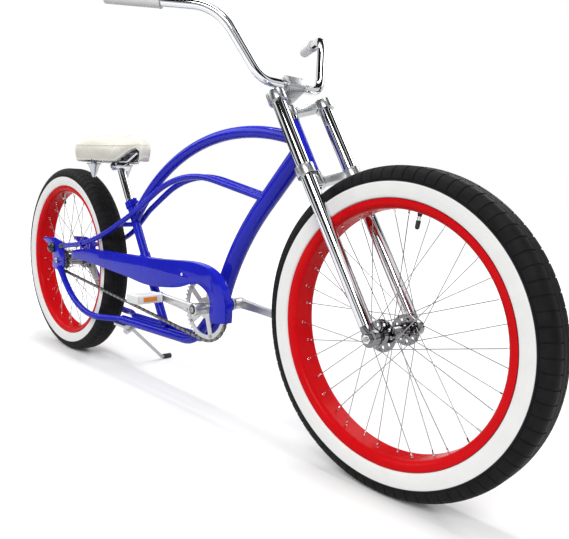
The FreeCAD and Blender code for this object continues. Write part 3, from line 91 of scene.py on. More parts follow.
def mixed(tree, share, first, second):
    return put(tree, "ShaderNodeMix", {"Factor": share, 6: first, 7: second}, data_type="RGBA").outputs[2]


def startMaterial(name):
    material = bpy.data.materials.new(name)
    material.use_nodes = True
    tree = material.node_tree
    return material, tree, tree.nodes["Principled BSDF"]


# camera at the photo's viewpoint, lens for a 569 x 539 frame
cameraLook = {"spot": (1.462, -1.041, 0.643), "right": (0.7025, 0.7108, 0.0350),
              "down": (0.1164, -0.0662, -0.9910), "lens": 37.18, "sensor": 36, "nearest": 0.05}


def placeCamera():
    data = bpy.data.cameras.new("photoCamera")
    data.sensor_fit = "HORIZONTAL"
    data.sensor_width = cameraLook["sensor"]
    data.lens = cameraLook["lens"]
    data.clip_start = cameraLook["nearest"]
    camera = linked("photoCamera", data)
    right = Vector(cameraLook["right"]).normalized()
    up = -Vector(cameraLook["down"]).normalized()
    back = right.cross(up).normalized()
    up = back.cross(right)
    turn = Matrix((right, up, back)).transposed().to_4x4()
    camera.matrix_world = Matrix.Translation(cameraLook["spot"]) @ turn
    scene.camera = camera


# pale floor and sky
studio = {"floorSize": 60, "floorHeight": -0.0006, "floorColour": (0.9, 0.9, 0.9, 1),
          "bounceColour": (0.42, 0.42, 0.42, 1), "floorRough": 0.9, "floorGloss": 0.1,
          "glowNear": 1.0, "glowFar": 3.4, "nearGlow": 0.02, "farGlow": 0.64, "skyLight": 0.52, "skyShown": 1.0}


def shownRays(tree):
    # 1 for the rays of the camera and for those that metal or glass sends on
    rays = put(tree, "ShaderNodeLightPath").outputs
    mirrored = maths(tree, "MAXIMUM", rays["Is Camera Ray"], rays["Is Glossy Ray"])
    return maths(tree, "MAXIMUM", mirrored, rays["Is Transmission Ray"])


def addFloor():
    half, height = studio["floorSize"] / 2, studio["floorHeight"]
    corners = [(-half, -half, height), (half, -half, height), (half, half, height), (-half, half, height)]
    mesh = newMesh("studioFloor", corners, [(0, 1, 2, 3)])
    floor = linked("studioFloor", mesh)
    material, tree, shader = startMaterial("studioFloor")
    seen = shownRays(tree)
    spot = put(tree, "ShaderNodeTexCoord").outputs["Object"]
    away = put(tree, "ShaderNodeVectorMath", {0: spot}, operation="LENGTH").outputs["Value"]
    fade = put(tree, "ShaderNodeMapRange", {"Value": away, "From Min": studio["glowNear"],
                                            "From Max": studio["glowFar"], "To Min": studio["nearGlow"],
                                            "To Max": studio["farGlow"]}).outputs["Result"]
    # pale where it is seen or mirrored, with a glow away from the part, and grey in the light it throws back
    fill(tree, shader, {"Base Color": mixed(tree, seen, studio["bounceColour"], studio["floorColour"]),
                        "Roughness": studio["floorRough"], "Specular IOR Level": studio["floorGloss"],
                        "Emission Color": white, "Emission Strength": maths(tree, "MULTIPLY", seen, fade)})
    mesh.materials.append(material)


def addWorld():
    world = bpy.data.worlds.new("studioWorld")
    scene.world = world
    world.use_nodes = True
    tree = world.node_tree
    tree.nodes.clear()
    lit, shown = (put(tree, "ShaderNodeBackground", {"Color": white, "Strength": studio[key]}).outputs[0]
                  for key in ("skyLight", "skyShown"))
    mix = put(tree, "ShaderNodeMixShader", {0: shownRays(tree), 1: lit, 2: shown})
    put(tree, "ShaderNodeOutputWorld", {"Surface": mix.outputs[0]})


lamps = {"keyLamp": {"spot": (2.2, -2.6, 2.8), "target": (0, 0, 0.4), "size": (2.2, 1.6), "power": 82},
         "fillLamp": {"spot": (-2.4, -1.6, 2.4), "target": (-0.3, 0, 0.4), "size": (2.0, 2.0), "power": 34},
         "rimLamp": {"spot": (0.2, 2.8, 2.6), "target": (0, 0, 0.5), "size": (2.4, 1.2), "power": 34},
         "topLamp": {"spot": (0, 0.05, 3.1), "target": (0, 0.0501, 0), "size": (3.0, 0.4), "power": 48}}


def addLamp(name, spot, target, size, power):
    data = bpy.data.lights.new(name, "AREA")
    data.shape = "RECTANGLE"
    data.size, data.size_y = size
    data.energy = power
    lamp = linked(name, data)
    lamp.location = spot
    lamp.rotation_euler = (Vector(target) - Vector(spot)).to_track_quat("-Z", "Y").to_euler()


# dark cards that only polished metal sees: upright strips, a roof with a gap and a low band at the horizon
# a strip is (degrees round the part, width, foot, top)
cards = {"grey": (0.03, 0.03, 0.03, 1), "stripReach": 3.4,
         "strips": [(-80, 4.2, 1.3, 4.4), (-12, 3.0, 0, 2.7), (66, 0.7, 0, 4.4), (108, 1.4, 0, 4.4),
                    (160, 0.9, 0, 4.4), (214, 1.0, 0, 4.4)],
         "roofs": [((-3.0, -3.0), (3.4, 0.2)), ((-3.0, 0.7), (3.4, 3.4))], "roofHeight": 3.4,
         "bandReach": 4.6, "bandLow": 0.2, "bandHigh": 0.75, "bandSteps": 48}


def addCard(name, points, material, faces=((0, 1, 2, 3),)):
    mesh = newMesh(name, points, faces)
    mesh.materials.append(material)
    card = linked(name, mesh)
    card.visible_camera = False
    card.visible_diffuse = False
    card.visible_shadow = False


def addCards():
    material, tree, shader = startMaterial("darkCard")
    fill(tree, shader, {"Base Color": cards["grey"], "Roughness": 1, "Specular IOR Level": 0})
    for number, (degrees, width, low, high) in enumerate(cards["strips"]):
        turn = radians(degrees)
        out = Vector((cos(turn), sin(turn), 0))
        side = Vector((-out.y, out.x, 0)) * (width / 2)
        foot = out * cards["stripReach"] + upAxis * low
        top = upAxis * (high - low)
        addCard("strip%d" % number, [foot - side, foot + side, foot + side + top, foot - side + top], material)
    height = cards["roofHeight"]
    for number, ((left, near), (right, far)) in enumerate(cards["roofs"]):
        corners = [(left, near, height), (right, near, height), (right, far, height), (left, far, height)]
        addCard("roof%d" % number, corners, material)
    count = cards["bandSteps"]
    points, faces = [], []
    for step in range(count):
        turn = 2 * pi * step / count
        x, y = cos(turn) * cards["bandReach"], sin(turn) * cards["bandReach"]
        points += [(x, y, cards["bandLow"]), (x, y, cards["bandHigh"])]
        after = (step + 1) % count
        faces.append((2 * step, 2 * after, 2 * after + 1, 2 * step + 1))
    addCard("horizonBand", points, material, faces)


placeCamera()
addFloor()
addWorld()
for word, look in lamps.items():
    addLamp(word, **look)
addCards()
print("camera, floor and lights placed")


# parts of a finish
def objectSpot(tree, scale=(1, 1, 1), location=(0, 0, 0)):
    coords = put(tree, "ShaderNodeTexCoord").outputs["Object"]
    mapping = put(tree, "ShaderNodeMapping", {"Vector": coords, "Scale": scale, "Location": location})
    return mapping.outputs["Vector"]


def noise(tree, spot, scale, detail=4, rough=0.55):
    node = put(tree, "ShaderNodeTexNoise", {"Vector": spot, "Scale": scale, "Detail": detail, "Roughness": rough})
    return node.outputs["Fac"]


def ramp(tree, value, deep, bright, places=(0.3, 0.7)):
    node = put(tree, "ShaderNodeValToRGB", {"Fac": value})
    for stop, place, colour in zip(node.color_ramp.elements, places, (deep, bright)):
        stop.position, stop.color = place, (*colour, 1)
    return node.outputs["Color"]


def spread(tree, value, low, high):
    node = put(tree, "ShaderNodeMapRange", {"Value": value, "To Min": low, "To Max": high})
    return node.outputs["Result"]


def bump(tree, height, strength, distance):
    node = put(tree, "ShaderNodeBump", {"Height": height, "Strength": strength, "Distance": distance})
    return node.outputs["Normal"]


def dimmed(colour, share):
    return [part * share for part in colour]


paintGrain = {"drift": 7, "wear": 30, "low": 0.22, "high": 0.34,
              "peel": 420, "peelShare": 0.06, "peelDepth": 0.0006}


def lacquer(name, deep, bright, coatRough, coat, gloss):
    # gloss paint: slow tone drift, fine orange peel and a clear coat
    look = paintGrain
    material, tree, shader = startMaterial(name)
    spot = objectSpot(tree)
    peel = noise(tree, spot, look["peel"], 2)
    fill(tree, shader, {"Base Color": ramp(tree, noise(tree, spot, look["drift"]), deep, bright),
                        "Roughness": spread(tree, noise(tree, spot, look["wear"]), look["low"], look["high"]),
                        "Coat Weight": coat, "Coat Roughness": coatRough, "Specular IOR Level": gloss,
                        "Normal": bump(tree, peel, look["peelShare"], look["peelDepth"])})
    return material


plateGrain = {"drift": 9, "dim": 0.93, "smear": 22, "pits": 900, "pitShare": 0.02, "pitDepth": 0.0003}


def plated(name, colour, low, high):
    # plating with faint smears and pitting
    look = plateGrain
    material, tree, shader = startMaterial(name)
    spot = objectSpot(tree)
    tone = ramp(tree, noise(tree, spot, look["drift"]), dimmed(colour, look["dim"]), colour)
    pits = noise(tree, spot, look["pits"], 2)
    fill(tree, shader, {"Metallic": 1, "Base Color": tone,
                        "Roughness": spread(tree, noise(tree, spot, look["smear"], 6), low, high),
                        "Normal": bump(tree, pits, look["pitShare"], look["pitDepth"])})
    return material


drawnGrain = {"lines": 60, "dim": 0.8, "places": (0.25, 0.75), "lineShare": 0.08, "lineDepth": 0.0004}


def brushed(name, colour, low, high, stretch, metal=1):
    # metal with fine drawn lines
    look = drawnGrain
    material, tree, shader = startMaterial(name)
    lines = noise(tree, objectSpot(tree, stretch), look["lines"], 3)
    fill(tree, shader, {"Metallic": metal,
                        "Base Color": ramp(tree, lines, dimmed(colour, look["dim"]), colour, look["places"]),
                        "Roughness": spread(tree, lines, low, high),
                        "Normal": bump(tree, lines, look["lineShare"], look["lineDepth"])})
    return material


mouldGrain = {"drift": 14, "wear": 45, "depth": 0.0006}


def moulded(name, deep, bright, low, high, grain, share):
    # plastic or rubber with a fine moulded grain
    look = mouldGrain
    material, tree, shader = startMaterial(name)
    spot = objectSpot(tree)
    fill(tree, shader, {"Base Color": ramp(tree, noise(tree, spot, look["drift"]), deep, bright),
                        "Roughness": spread(tree, noise(tree, spot, look["wear"]), low, high),
                        "Normal": bump(tree, noise(tree, spot, grain, 3), share, look["depth"])})
    return material


tyreLook = {"wallInner": 0.2866, "wallOuter": 0.3200, "edge": 0.0012, "white": (0.9, 0.9, 0.89), "dim": 0.95,
            "black": (0.006, 0.006, 0.007), "worn": (0.012, 0.012, 0.013), "gloss": 0.1,
            "rubberDrift": 40, "whiteDrift": 25, "wear": 60, "low": 0.5, "high": 0.68,
            "grain": 700, "grainShare": 0.12, "grainDepth": 0.0006}


def tyreMaterial(name, hub):
    # black rubber with a white band, told apart by distance from the hub
    look = tyreLook
    material, tree, shader = startMaterial(name)
    spot = objectSpot(tree, location=(-hub.x, 0, -hub.z))
    parts = put(tree, "ShaderNodeSeparateXYZ", {0: spot}).outputs
    flat = put(tree, "ShaderNodeCombineXYZ", {"X": parts["X"], "Y": parts["Z"]}).outputs[0]
    reach = put(tree, "ShaderNodeVectorMath", {0: flat}, operation="LENGTH").outputs["Value"]
    inner, outer = (put(tree, "ShaderNodeMapRange", {"Value": reach, "From Min": look[key],
                                                     "From Max": look[key] + look["edge"], "To Min": start,
                                                     "To Max": 1 - start}).outputs["Result"]
                    for key, start in (("wallInner", 0), ("wallOuter", 1)))
    rubber = ramp(tree, noise(tree, spot, look["rubberDrift"]), look["black"], look["worn"])
    chalk = ramp(tree, noise(tree, spot, look["whiteDrift"]), dimmed(look["white"], look["dim"]), look["white"])
    grain = noise(tree, spot, look["grain"], 3)
    fill(tree, shader, {"Base Color": mixed(tree, maths(tree, "MULTIPLY", inner, outer), rubber, chalk),
                        "Roughness": spread(tree, noise(tree, spot, look["wear"]), look["low"], look["high"]),
                        "Specular IOR Level": look["gloss"],
                        "Normal": bump(tree, grain, look["grainShare"], look["grainDepth"])})
    return material


# lacquer: deep and bright tone, coat roughness, coat weight, gloss
# plated: tone, lowest and highest roughness; brushed adds the scale of its lines on x, y and z and how metallic it is
# moulded: deep and bright tone, lowest and highest roughness, fineness and strength of the grain
paintBlue = lacquer("paintBlue", (0.010, 0.013, 0.42), (0.014, 0.018, 0.54), 0.03, 0.36, 0.03)
paintRed = lacquer("paintRed", (0.60, 0.004, 0.007), (0.68, 0.006, 0.010), 0.12, 0.04, 0.03)
chromePlate = plated("chromePlate", (0.66, 0.67, 0.69), 0.03, 0.08)
# hubs and fork lugs take a darker copy of the chrome: its dark tone is a painted dark reflection, standing in for the
# surroundings that polished plating mirrors
paintedDarkReflectionPlate = plated("paintedDarkReflectionPlate", (0.19, 0.19, 0.20), 0.08, 0.16)
spokeSteel = plated("spokeSteel", (0.34, 0.34, 0.35), 0.2, 0.32)
castAlloy = brushed("castAlloy", (0.58, 0.58, 0.59), 0.26, 0.38, (1, 1, 6), 0.8)
stemFace = brushed("stemFace", (0.44, 0.45, 0.46), 0.3, 0.42, (1, 9, 1), 0.8)
satinChrome = plated("satinChrome", (0.46, 0.47, 0.48), 0.24, 0.34)
boltSteel = brushed("boltSteel", (0.42, 0.42, 0.43), 0.25, 0.4, (1, 5, 1))
chainSteel = brushed("chainSteel", (0.24, 0.23, 0.22), 0.3, 0.5, (4, 1, 4))
gripRubber = moulded("gripRubber", (0.72, 0.72, 0.72), (0.78, 0.78, 0.78), 0.42, 0.55, 500, 0.1)
pedalWhite = moulded("pedalWhite", (0.74, 0.74, 0.74), (0.8, 0.8, 0.8), 0.32, 0.45, 300, 0.06)
panBlack = moulded("panBlack", (0.012, 0.012, 0.012), (0.022, 0.022, 0.022), 0.42, 0.6, 260, 0.15)
footRubber = moulded("footRubber", (0.014, 0.014, 0.014), (0.026, 0.026, 0.026), 0.6, 0.75, 420, 0.2)
frontTyreRubber = tyreMaterial("frontTyreRubber", frontHub)
rearTyreRubber = tyreMaterial("rearTyreRubber", rearHub)
nippleBrass = plated("nippleBrass", (0.78, 0.78, 0.79), 0.1, 0.2)
valveMetal = plated("valveMetal", (0.60, 0.60, 0.61), 0.2, 0.34)
chainDark = brushed("chainDark", (0.10, 0.10, 0.10), 0.35, 0.55, (4, 1, 4))
lensGrey = moulded("lensGrey", (0.36, 0.38, 0.37), (0.46, 0.48, 0.47), 0.12, 0.25, 240, 0.3)
amberLens = moulded("amberLens", (0.72, 0.20, 0.02), (0.86, 0.30, 0.04), 0.12, 0.25, 300, 0.35)
domeBlack = moulded("domeBlack", (0.010, 0.010, 0.011), (0.018, 0.018, 0.019), 0.12, 0.22, 200, 0.04)
saddleVinyl = moulded("saddleVinyl", (0.64, 0.62, 0.545), (0.70, 0.68, 0.605), 0.36, 0.5, 380, 0.14)
saddleWelt = moulded("saddleWelt", (0.60, 0.58, 0.51), (0.66, 0.64, 0.565), 0.38, 0.52, 420, 0.12)

finishes = (
    (paintBlue, "head_tube top_tube down_tube seat_tube left_arch_tube right_arch_tube left_lower_stay "
                "right_lower_stay left_dropout right_dropout stay_bridge bb_shell chainguard chainguard_brackets "
                "seat_collar"),
    (paintRed, "front_rim rear_rim"),
    (satinChrome, "lower_crown upper_crown saddle_bumpers kickstand_leg"),
    (chromePlate, "left_fork_leg right_fork_leg steerer handlebar headset_cups seatpost saddle_clamp saddle_rails "
                  "front_axle_nuts rear_axle_nuts"),
    (paintedDarkReflectionPlate, "front_hub rear_hub fork_lugs"),
    (spokeSteel, "front_spokes rear_spokes"),
    (castAlloy, "left_crank_arm right_crank_arm chainring kickstand_bracket"),
    (stemFace, "stem"),
    (boltSteel, "front_axle rear_axle crank_spindle pedal_axles bb_cups rear_sprocket brake_arm stem_bolts"),
    (chainSteel, "drive_chain"),
    (gripRubber, "left_grip right_grip"),
    (pedalWhite, "left_pedal right_pedal"),
    (saddleVinyl, "saddle_cushion"),
    (panBlack, "saddle_pan stay_cap"),
    (footRubber, "kickstand_foot"),
    (frontTyreRubber, "front_tyre"),
    (rearTyreRubber, "rear_tyre"),
)
for material, words in finishes:
    for word in words.split():
        nodes[word].data.materials.clear()
        nodes[word].data.materials.append(material)
print("frame finished in", len(finishes), "finishes")


# mesh helpers: every finished piece sits at the origin with its place in its mesh
def tidyMesh(mesh, sharp=35, weld=0.000002):
    # merges doubles, turns the faces outwards and keeps edges past the sharp angle in degrees hard
    work = bmesh.new()
    work.from_mesh(mesh)
    bmesh.ops.remove_doubles(work, verts=work.verts, dist=weld)
    bmesh.ops.recalc_face_normals(work, faces=work.faces)
    work.to_mesh(mesh)
    work.free()
    mesh.shade_smooth()
    mesh.set_sharp_from_angle(angle=radians(sharp))
    return mesh


def addPiece(name, mesh, material, body, replaced=()):
    if material:
        mesh.materials.clear()
        mesh.materials.append(material)
    piece = linked(name, mesh)
    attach(piece, body)
    if replaced:
        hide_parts(*replaced)
    return piece


def joined(name, meshes):
    work = bmesh.new()
    for mesh in meshes:
        work.from_mesh(mesh)
        bpy.data.meshes.remove(mesh)
    mesh = bpy.data.meshes.new(name)
    work.to_mesh(mesh)
    work.free()
    return mesh


def nodeCopy(word):
    mesh = nodes[word].data.copy()
    mesh.transform(nodes[word].matrix_world)
    return mesh


def baked(base, modifier):
    # the plain mesh that a modifier gives, after which the modifier goes
    mesh = bpy.data.meshes.new_from_object(base.evaluated_get(bpy.context.evaluated_depsgraph_get()))
    base.modifiers.remove(modifier)
    return mesh


def drop(thing):
    mesh = thing.data
    bpy.data.objects.remove(thing)
    bpy.data.meshes.remove(mesh)


def gridFaces(rows, count, closed):
    # quads between rings of points; closed joins the last ring to the first
    faces = []
    for row in range(rows if closed else rows - 1):
        below, above = row * count, (row + 1) % rows * count
        for step in range(count):
            after = (step + 1) % count
            faces.append((below + step, below + after, above + after, above + step))
    return faces


def lathe(name, profile, centre, axis, steps, closed=False):
    # profile rows are (distance along the axis, radius); open ends with a radius are capped
    axis = Vector(axis).normalized()
    side = axis.orthogonal().normalized()
    other = axis.cross(side)
    points = []
    for along, radius in profile:
        for step in range(steps):
            turn = 2 * pi * step / steps
            around = side * cos(turn) + other * sin(turn)
            points.append(Vector(centre) + axis * along + around * radius)
    rows = len(profile)
    faces = gridFaces(rows, steps, closed)
    if not closed:
        for row in (0, rows - 1):
            if profile[row][1] > 0:
                faces.append(tuple(range(row * steps, (row + 1) * steps)))
    return newMesh(name, points, faces)


def addTurned(name, profile, centre, axis, steps, material, body, sharp=35, replaced=(), closed=False):
    mesh = tidyMesh(lathe(name, profile, centre, axis, steps, closed), sharp)
    addPiece(name, mesh, material, body, replaced)


def roundedBox(name, centre, half, corner, axes=None, steps=3):
    # a box with rounded edges, as a bevelled cube in its own axes
    work = bmesh.new()
    bmesh.ops.create_cube(work, size=2)
    for vert in work.verts:
        vert.co = Vector((vert.co.x * half[0], vert.co.y * half[1], vert.co.z * half[2]))
    bmesh.ops.bevel(work, geom=work.edges[:], offset=corner, segments=steps, profile=0.5, affect="EDGES")
    turn = Matrix(axes).transposed() if axes else Matrix.Identity(3)
    for vert in work.verts:
        vert.co = turn @ vert.co + Vector(centre)
    mesh = bpy.data.meshes.new(name)
    work.to_mesh(mesh)
    work.free()
    return mesh


# geometry node trees for what repeats
def openTree(name, inputs):
    tree = bpy.data.node_groups.new(name, "GeometryNodeTree")
    tree.interface.new_socket("Geometry", in_out="INPUT", socket_type="NodeSocketGeometry")
    for word, kind in inputs.items():
        tree.interface.new_socket(word, in_out="INPUT", socket_type="NodeSocket" + kind)
    tree.interface.new_socket("Geometry", in_out="OUTPUT", socket_type="NodeSocketGeometry")
    return tree, tree.nodes.new("NodeGroupInput").outputs


def closeTree(tree, given, places):
    placed = put(tree, "GeometryNodeInstanceOnPoints", places)
    real = put(tree, "GeometryNodeRealizeInstances", {0: placed.outputs[0]})
    finish = put(tree, "GeometryNodeSetMaterial", {"Geometry": real.outputs[0], "Material": given["Finish"]})
    put(tree, "NodeGroupOutput", {0: finish.outputs[0]})
    return tree


def ringTree():
    # repeats the given shape about a wheel centre, turning it about the cross axis
    tree, given = openTree("ringRow", {"Count": "Int", "Centre": "Vector", "Finish": "Material"})
    dots = put(tree, "GeometryNodePoints", {"Count": given["Count"], "Position": given["Centre"]})
    index = put(tree, "GeometryNodeInputIndex").outputs[0]
    turn = maths(tree, "MULTIPLY", maths(tree, "DIVIDE", index, given["Count"]), 2 * pi)
    spin = put(tree, "ShaderNodeCombineXYZ", {"Y": turn})
    return closeTree(tree, given, {"Points": dots.outputs[0], "Instance": given["Geometry"],
                                   "Rotation": spin.outputs[0]})


def rowTree():
    # repeats the given shape along a straight step
    tree, given = openTree("straightRow", {"Count": "Int", "Start": "Vector", "Step": "Vector",
                                           "Finish": "Material"})
    line = put(tree, "GeometryNodeMeshLine", {"Count": given["Count"], "Start Location": given["Start"],
                                              "Offset": given["Step"]})
    return closeTree(tree, given, {"Points": line.outputs[0], "Instance": given["Geometry"]})


def linkTree():
    # lays a link shape on every second spot of a closed path, along the path's direction
    tree, given = openTree("linkRow", {"Link": "Object", "Count": "Int", "Odd": "Int", "Finish": "Material"})
    path = put(tree, "GeometryNodeMeshToCurve", {0: given["Geometry"]})
    even = put(tree, "GeometryNodeResampleCurve", {"Curve": path.outputs[0], "Count": given["Count"]})
    index = put(tree, "GeometryNodeInputIndex").outputs[0]
    parity = maths(tree, "MODULO", maths(tree, "ADD", index, given["Odd"]), 2)
    along = put(tree, "GeometryNodeInputTangent").outputs[0]
    face = put(tree, "FunctionNodeAlignRotationToVector", {"Vector": along}, axis="X", pivot_axis="AUTO")
    link = put(tree, "GeometryNodeObjectInfo", {"Object": given["Link"]})
    return closeTree(tree, given, {"Points": even.outputs[0], "Selection": parity, "Rotation": face.outputs[0],
                                   "Instance": link.outputs["Geometry"]})


ringRow, straightRow, linkRow = ringTree(), rowTree(), linkTree()


def grown(name, baseMesh, tree, settings):
    # runs a tree over a base mesh and keeps the plain result
    base = linked(name + "Base", baseMesh)
    modifier = base.modifiers.new("repeat", "NODES")
    modifier.node_group = tree
    for item in tree.interface.items_tree:
        if item.in_out == "INPUT" and item.name in settings:
            modifier[item.identifier] = settings[item.name]
    mesh = baked(base, modifier)
    drop(base)
    mesh.name = name
    return mesh


def laidAlong(name, points, shape, count, odd, finish):
    # lays copies of a shape round a closed path of points
    spots = len(points)
    track = newMesh(name + "Track", points, [], [(step, (step + 1) % spots) for step in range(spots)])
    link = linked(name + "Link", shape)
    mesh = grown(name, track, linkRow, {"Link": link, "Count": count, "Odd": odd, "Finish": finish})
    drop(link)
    return mesh


# tyres: slanted tread grooves and fine rings pressed into the solid's own outline
# bead, pull and edge are (side, radius); crown rows are (side, in the grooves, in a ring)
tyreShape = {"bead": ((0.0285, 0.2800), (0.0340, 0.2800), (0.0340, 0.2862), (0.0386, 0.2892)),
             "widest": (0.0430, 0.3190), "shoulderPull": (0.0422, 0.3520), "treadEdge": (0.0180, 0.3540),
             "wallBulge": 0.0010, "wallSteps": 8, "wallRidge": 0.0006, "wall": 0.0050,
             "shoulder": (0.04, 0.08, 0.09, 0.10, 0.11, 0.12, 0.14, 0.15, 0.2, 0.28, 0.36, 0.44, 0.52, 0.6, 0.68,
                          0.76, 0.84, 0.92, 1), "grooveFrom": 0.145, "shoulderRing": (0.10, 0.11),
             "crown": ((0.0145, 1, 0), (0.0115, 1, 0), (0.0105, 0, 0), (0.0098, 0, 1), (0.0086, 0, 1),
                       (0.0080, 0, 0), (0.0052, 0, 0), (0.0045, 0, 1), (0.0036, 0, 1), (0.0030, 0, 0), (0, 0, 0)),
             "lining": ((-0.028, 0.345), (0, 0.349), (0.028, 0.345)),
             "pitches": 80, "columns": (0.0, 0.07, 0.10, 0.40, 0.70, 0.97), "cutColumns": 2, "slant": 0.016,
             "grooveDepth": 0.0017, "ringDepth": 0.0012,
             "turnFrom": 0.018, "turnSpan": 0.025, "turnLift": 0.45, "turnSide": 0.8}


def tyreProfile():
    # half outline from bead to centre: (side, radius, in the grooves, in a ring)
    shape = tyreShape
    rows = [(y, r, 0, 0) for y, r in shape["bead"]]
    (beadSide, beadRadius), (wideSide, wideRadius) = shape["bead"][-1], shape["widest"]
    for step in range(1, shape["wallSteps"] + 1):
        share = step / shape["wallSteps"]
        bulge = shape["wallBulge"] * sin(pi * share)
        ridge = shape["wallRidge"] if step in (1, shape["wallSteps"]) else 0
        rows.append((beadSide + (wideSide - beadSide) * share + bulge + ridge,
                     beadRadius + (wideRadius - beadRadius) * share, 0, 0))
    (pullSide, pullRadius), (edgeSide, edgeRadius) = shape["shoulderPull"], shape["treadEdge"]
    for share in shape["shoulder"]:
        a, b, c = (1 - share) ** 2, 2 * share * (1 - share), share ** 2
        rows.append((a * wideSide + b * pullSide + c * edgeSide, a * wideRadius + b * pullRadius + c * edgeRadius,
                     int(share > shape["grooveFrom"]), int(share in shape["shoulderRing"])))
    return rows + [(side, edgeRadius, groove, ring) for side, groove, ring in shape["crown"]]


def tyreMesh(name, hub):
    shape = tyreShape
    wideSide, wideRadius = shape["widest"]
    half = tyreProfile()
    rows = half + [(-y, r, groove, ring) for y, r, groove, ring in reversed(half[:-1])]
    bed = wideSide - shape["wall"]
    rows += [(y, r, 0, 0) for y, r in ((-bed, wideRadius), *shape["lining"], (bed, wideRadius))]
    pitch = 2 * pi / shape["pitches"]
    columns = [((number + share) * pitch, share in shape["columns"][:shape["cutColumns"]])
               for number in range(shape["pitches"]) for share in shape["columns"]]
    points = []
    for y, radius, groove, ring in rows:
        lean = shape["slant"] * (1 - abs(y) / wideSide)
        turned = max(0, (abs(y) - shape["turnFrom"]) / shape["turnSpan"])  # grooves press sideways on the shoulder
        for turn, pressed in columns:
            depth = shape["grooveDepth"] * groove * pressed + shape["ringDepth"] * ring
            flat = radius - depth * (1 - shape["turnLift"] * turned)
            sideways = y - copysign(depth * shape["turnSide"] * turned, y)
            points.append(hub + Vector((cos(turn - lean) * flat, sideways, sin(turn - lean) * flat)))
    return tidyMesh(newMesh(name, points, gridFaces(len(rows), len(columns), True)), 28)


for (word, hub), rubber in zip(wheels, (frontTyreRubber, rearTyreRubber)):
    addPiece(word + "_tread_tyre", tyreMesh(word + "_tread_tyre", hub), rubber, word + "_wheel",
             [word + "_tyre"])
print("tyres grooved")


# spoke nipples at the rim and spoke heads at the flanges, four kinds repeated round each wheel
spokeFacts = {"count": 36, "kinds": 4, "turn": radians(60), "holeRadius": 0.031, "rimRadius": 0.2655,
              "rimSide": 0.006, "front": 0.042, "rear": 0.034, "flange": 0.004, "gauge": 0.001,
              "nipple": [(-0.001, 0.0029), (0.0016, 0.0029), (0.0022, 0.0021), (0.0115, 0.0019), (0.0126, 0.0012)],
              "head": [(0, 0.0021), (0.0006, 0.0021), (0.0012, 0.0013), (0.0014, 0)]}


def spokeEnds(number, inner):
    facts = spokeFacts
    side = 1 if number % 2 else -1
    lean = 1 if (number // 2) % 2 else -1
    rimTurn = 2 * pi * (number + 0.5) / facts["count"]
    hubTurn = rimTurn + lean * facts["turn"]
    face = inner - facts["gauge"] if lean > 0 else inner + facts["flange"] + facts["gauge"]
    start = facing(hubTurn) * facts["holeRadius"] + acrossAxis * (side * face)
    stop = facing(rimTurn) * facts["rimRadius"] + acrossAxis * (side * facts["rimSide"])
    headFace = inner + facts["flange"] if lean > 0 else inner
    headWay = acrossAxis * (side if lean > 0 else -side)
    seat = Vector((start.x, side * headFace, start.z))
    return start, stop, seat, headWay


for word, hub in wheels:
    nipples, heads = [], []
    for number in range(spokeFacts["kinds"]):
        start, stop, seat, headWay = spokeEnds(number, spokeFacts[word])
        nipples.append(lathe("nipple", spokeFacts["nipple"], stop, start - stop, 8))
        heads.append(lathe("head", spokeFacts["head"], seat, headWay, 8))
    for label, meshes, finish in (("_nipples", nipples, nippleBrass), ("_spoke_heads", heads, spokeSteel)):
        mesh = grown(word + label, tidyMesh(joined(label, meshes)), ringRow,
                     {"Count": spokeFacts["count"] // spokeFacts["kinds"], "Centre": hub, "Finish": finish})
        addPiece(word + label, tidyMesh(mesh), None, word + "_wheel")
print("spokes dressed")


# inner tube valves between two spokes, rooted in the rim bed
valveLook = {"front": 80, "rear": 110, "root": 0.2652,
             "stem": [(0, 0.0070), (0.003, 0.0056), (0.007, 0.0047), (0.0095, 0.0045), (0.0100, 0.0036),
                      (0.011, 0.0036)],
             "collar": [(0.0100, 0.0030), (0.0100, 0.0040), (0.0170, 0.0040), (0.0190, 0.0036)],
             "cap": [(0.0185, 0.0040), (0.0192, 0.0050), (0.0330, 0.0050), (0.0355, 0.0043), (0.0372, 0.0026),
                     (0.0376, 0)]}
for word, hub in wheels:
    outward = facing(radians(valveLook[word]))
    root = hub + outward * valveLook["root"]
    for label, finish, slotName in (("stem", footRubber, "black_rubber"), ("collar", valveMetal, "chrome"),
                                    ("cap", footRubber, "black_plastic")):
        addTurned("%s_valve_%s" % (word, label), valveLook[label], root, -outward, 20, finish, word + "_wheel")
print("valves in")


# rear wheel reflectors: slim lenses clipped along the spokes on either side of the hub
wheelLens = {"radius": 0.171, "turns": (-10.4, 189), "half": (0.036, 0.0045, 0.0115), "corner": 0.004, "lean": -52}
lenses = []
for degrees in wheelLens["turns"]:
    along = facing(radians(degrees + wheelLens["lean"]))
    spot = rearHub + facing(radians(degrees)) * wheelLens["radius"]
    lenses.append(roundedBox("lens", spot, wheelLens["half"], wheelLens["corner"],
                             (along, acrossAxis, along.cross(acrossAxis))))
addPiece("rear_wheel_lenses", tidyMesh(joined("rear_wheel_lenses", lenses), 50), lensGrey, "rear_wheel")


# drive chain: inner and outer links laid in turn round both toothed wheels
chainFacts = {"pitch": 0.0127, "ring": 46, "sprocket": 18, "line": -0.052, "plateHalf": 0.0043, "waist": 0.0032,
              "innerGap": 0.0017, "outerGap": 0.0033, "plate": 0.0011, "roller": 0.0039, "pin": 0.0018,
              "pinProud": 0.0007, "pathSteps": 720}


def pitchRadius(teeth):
    return chainFacts["pitch"] / (2 * sin(pi / teeth))


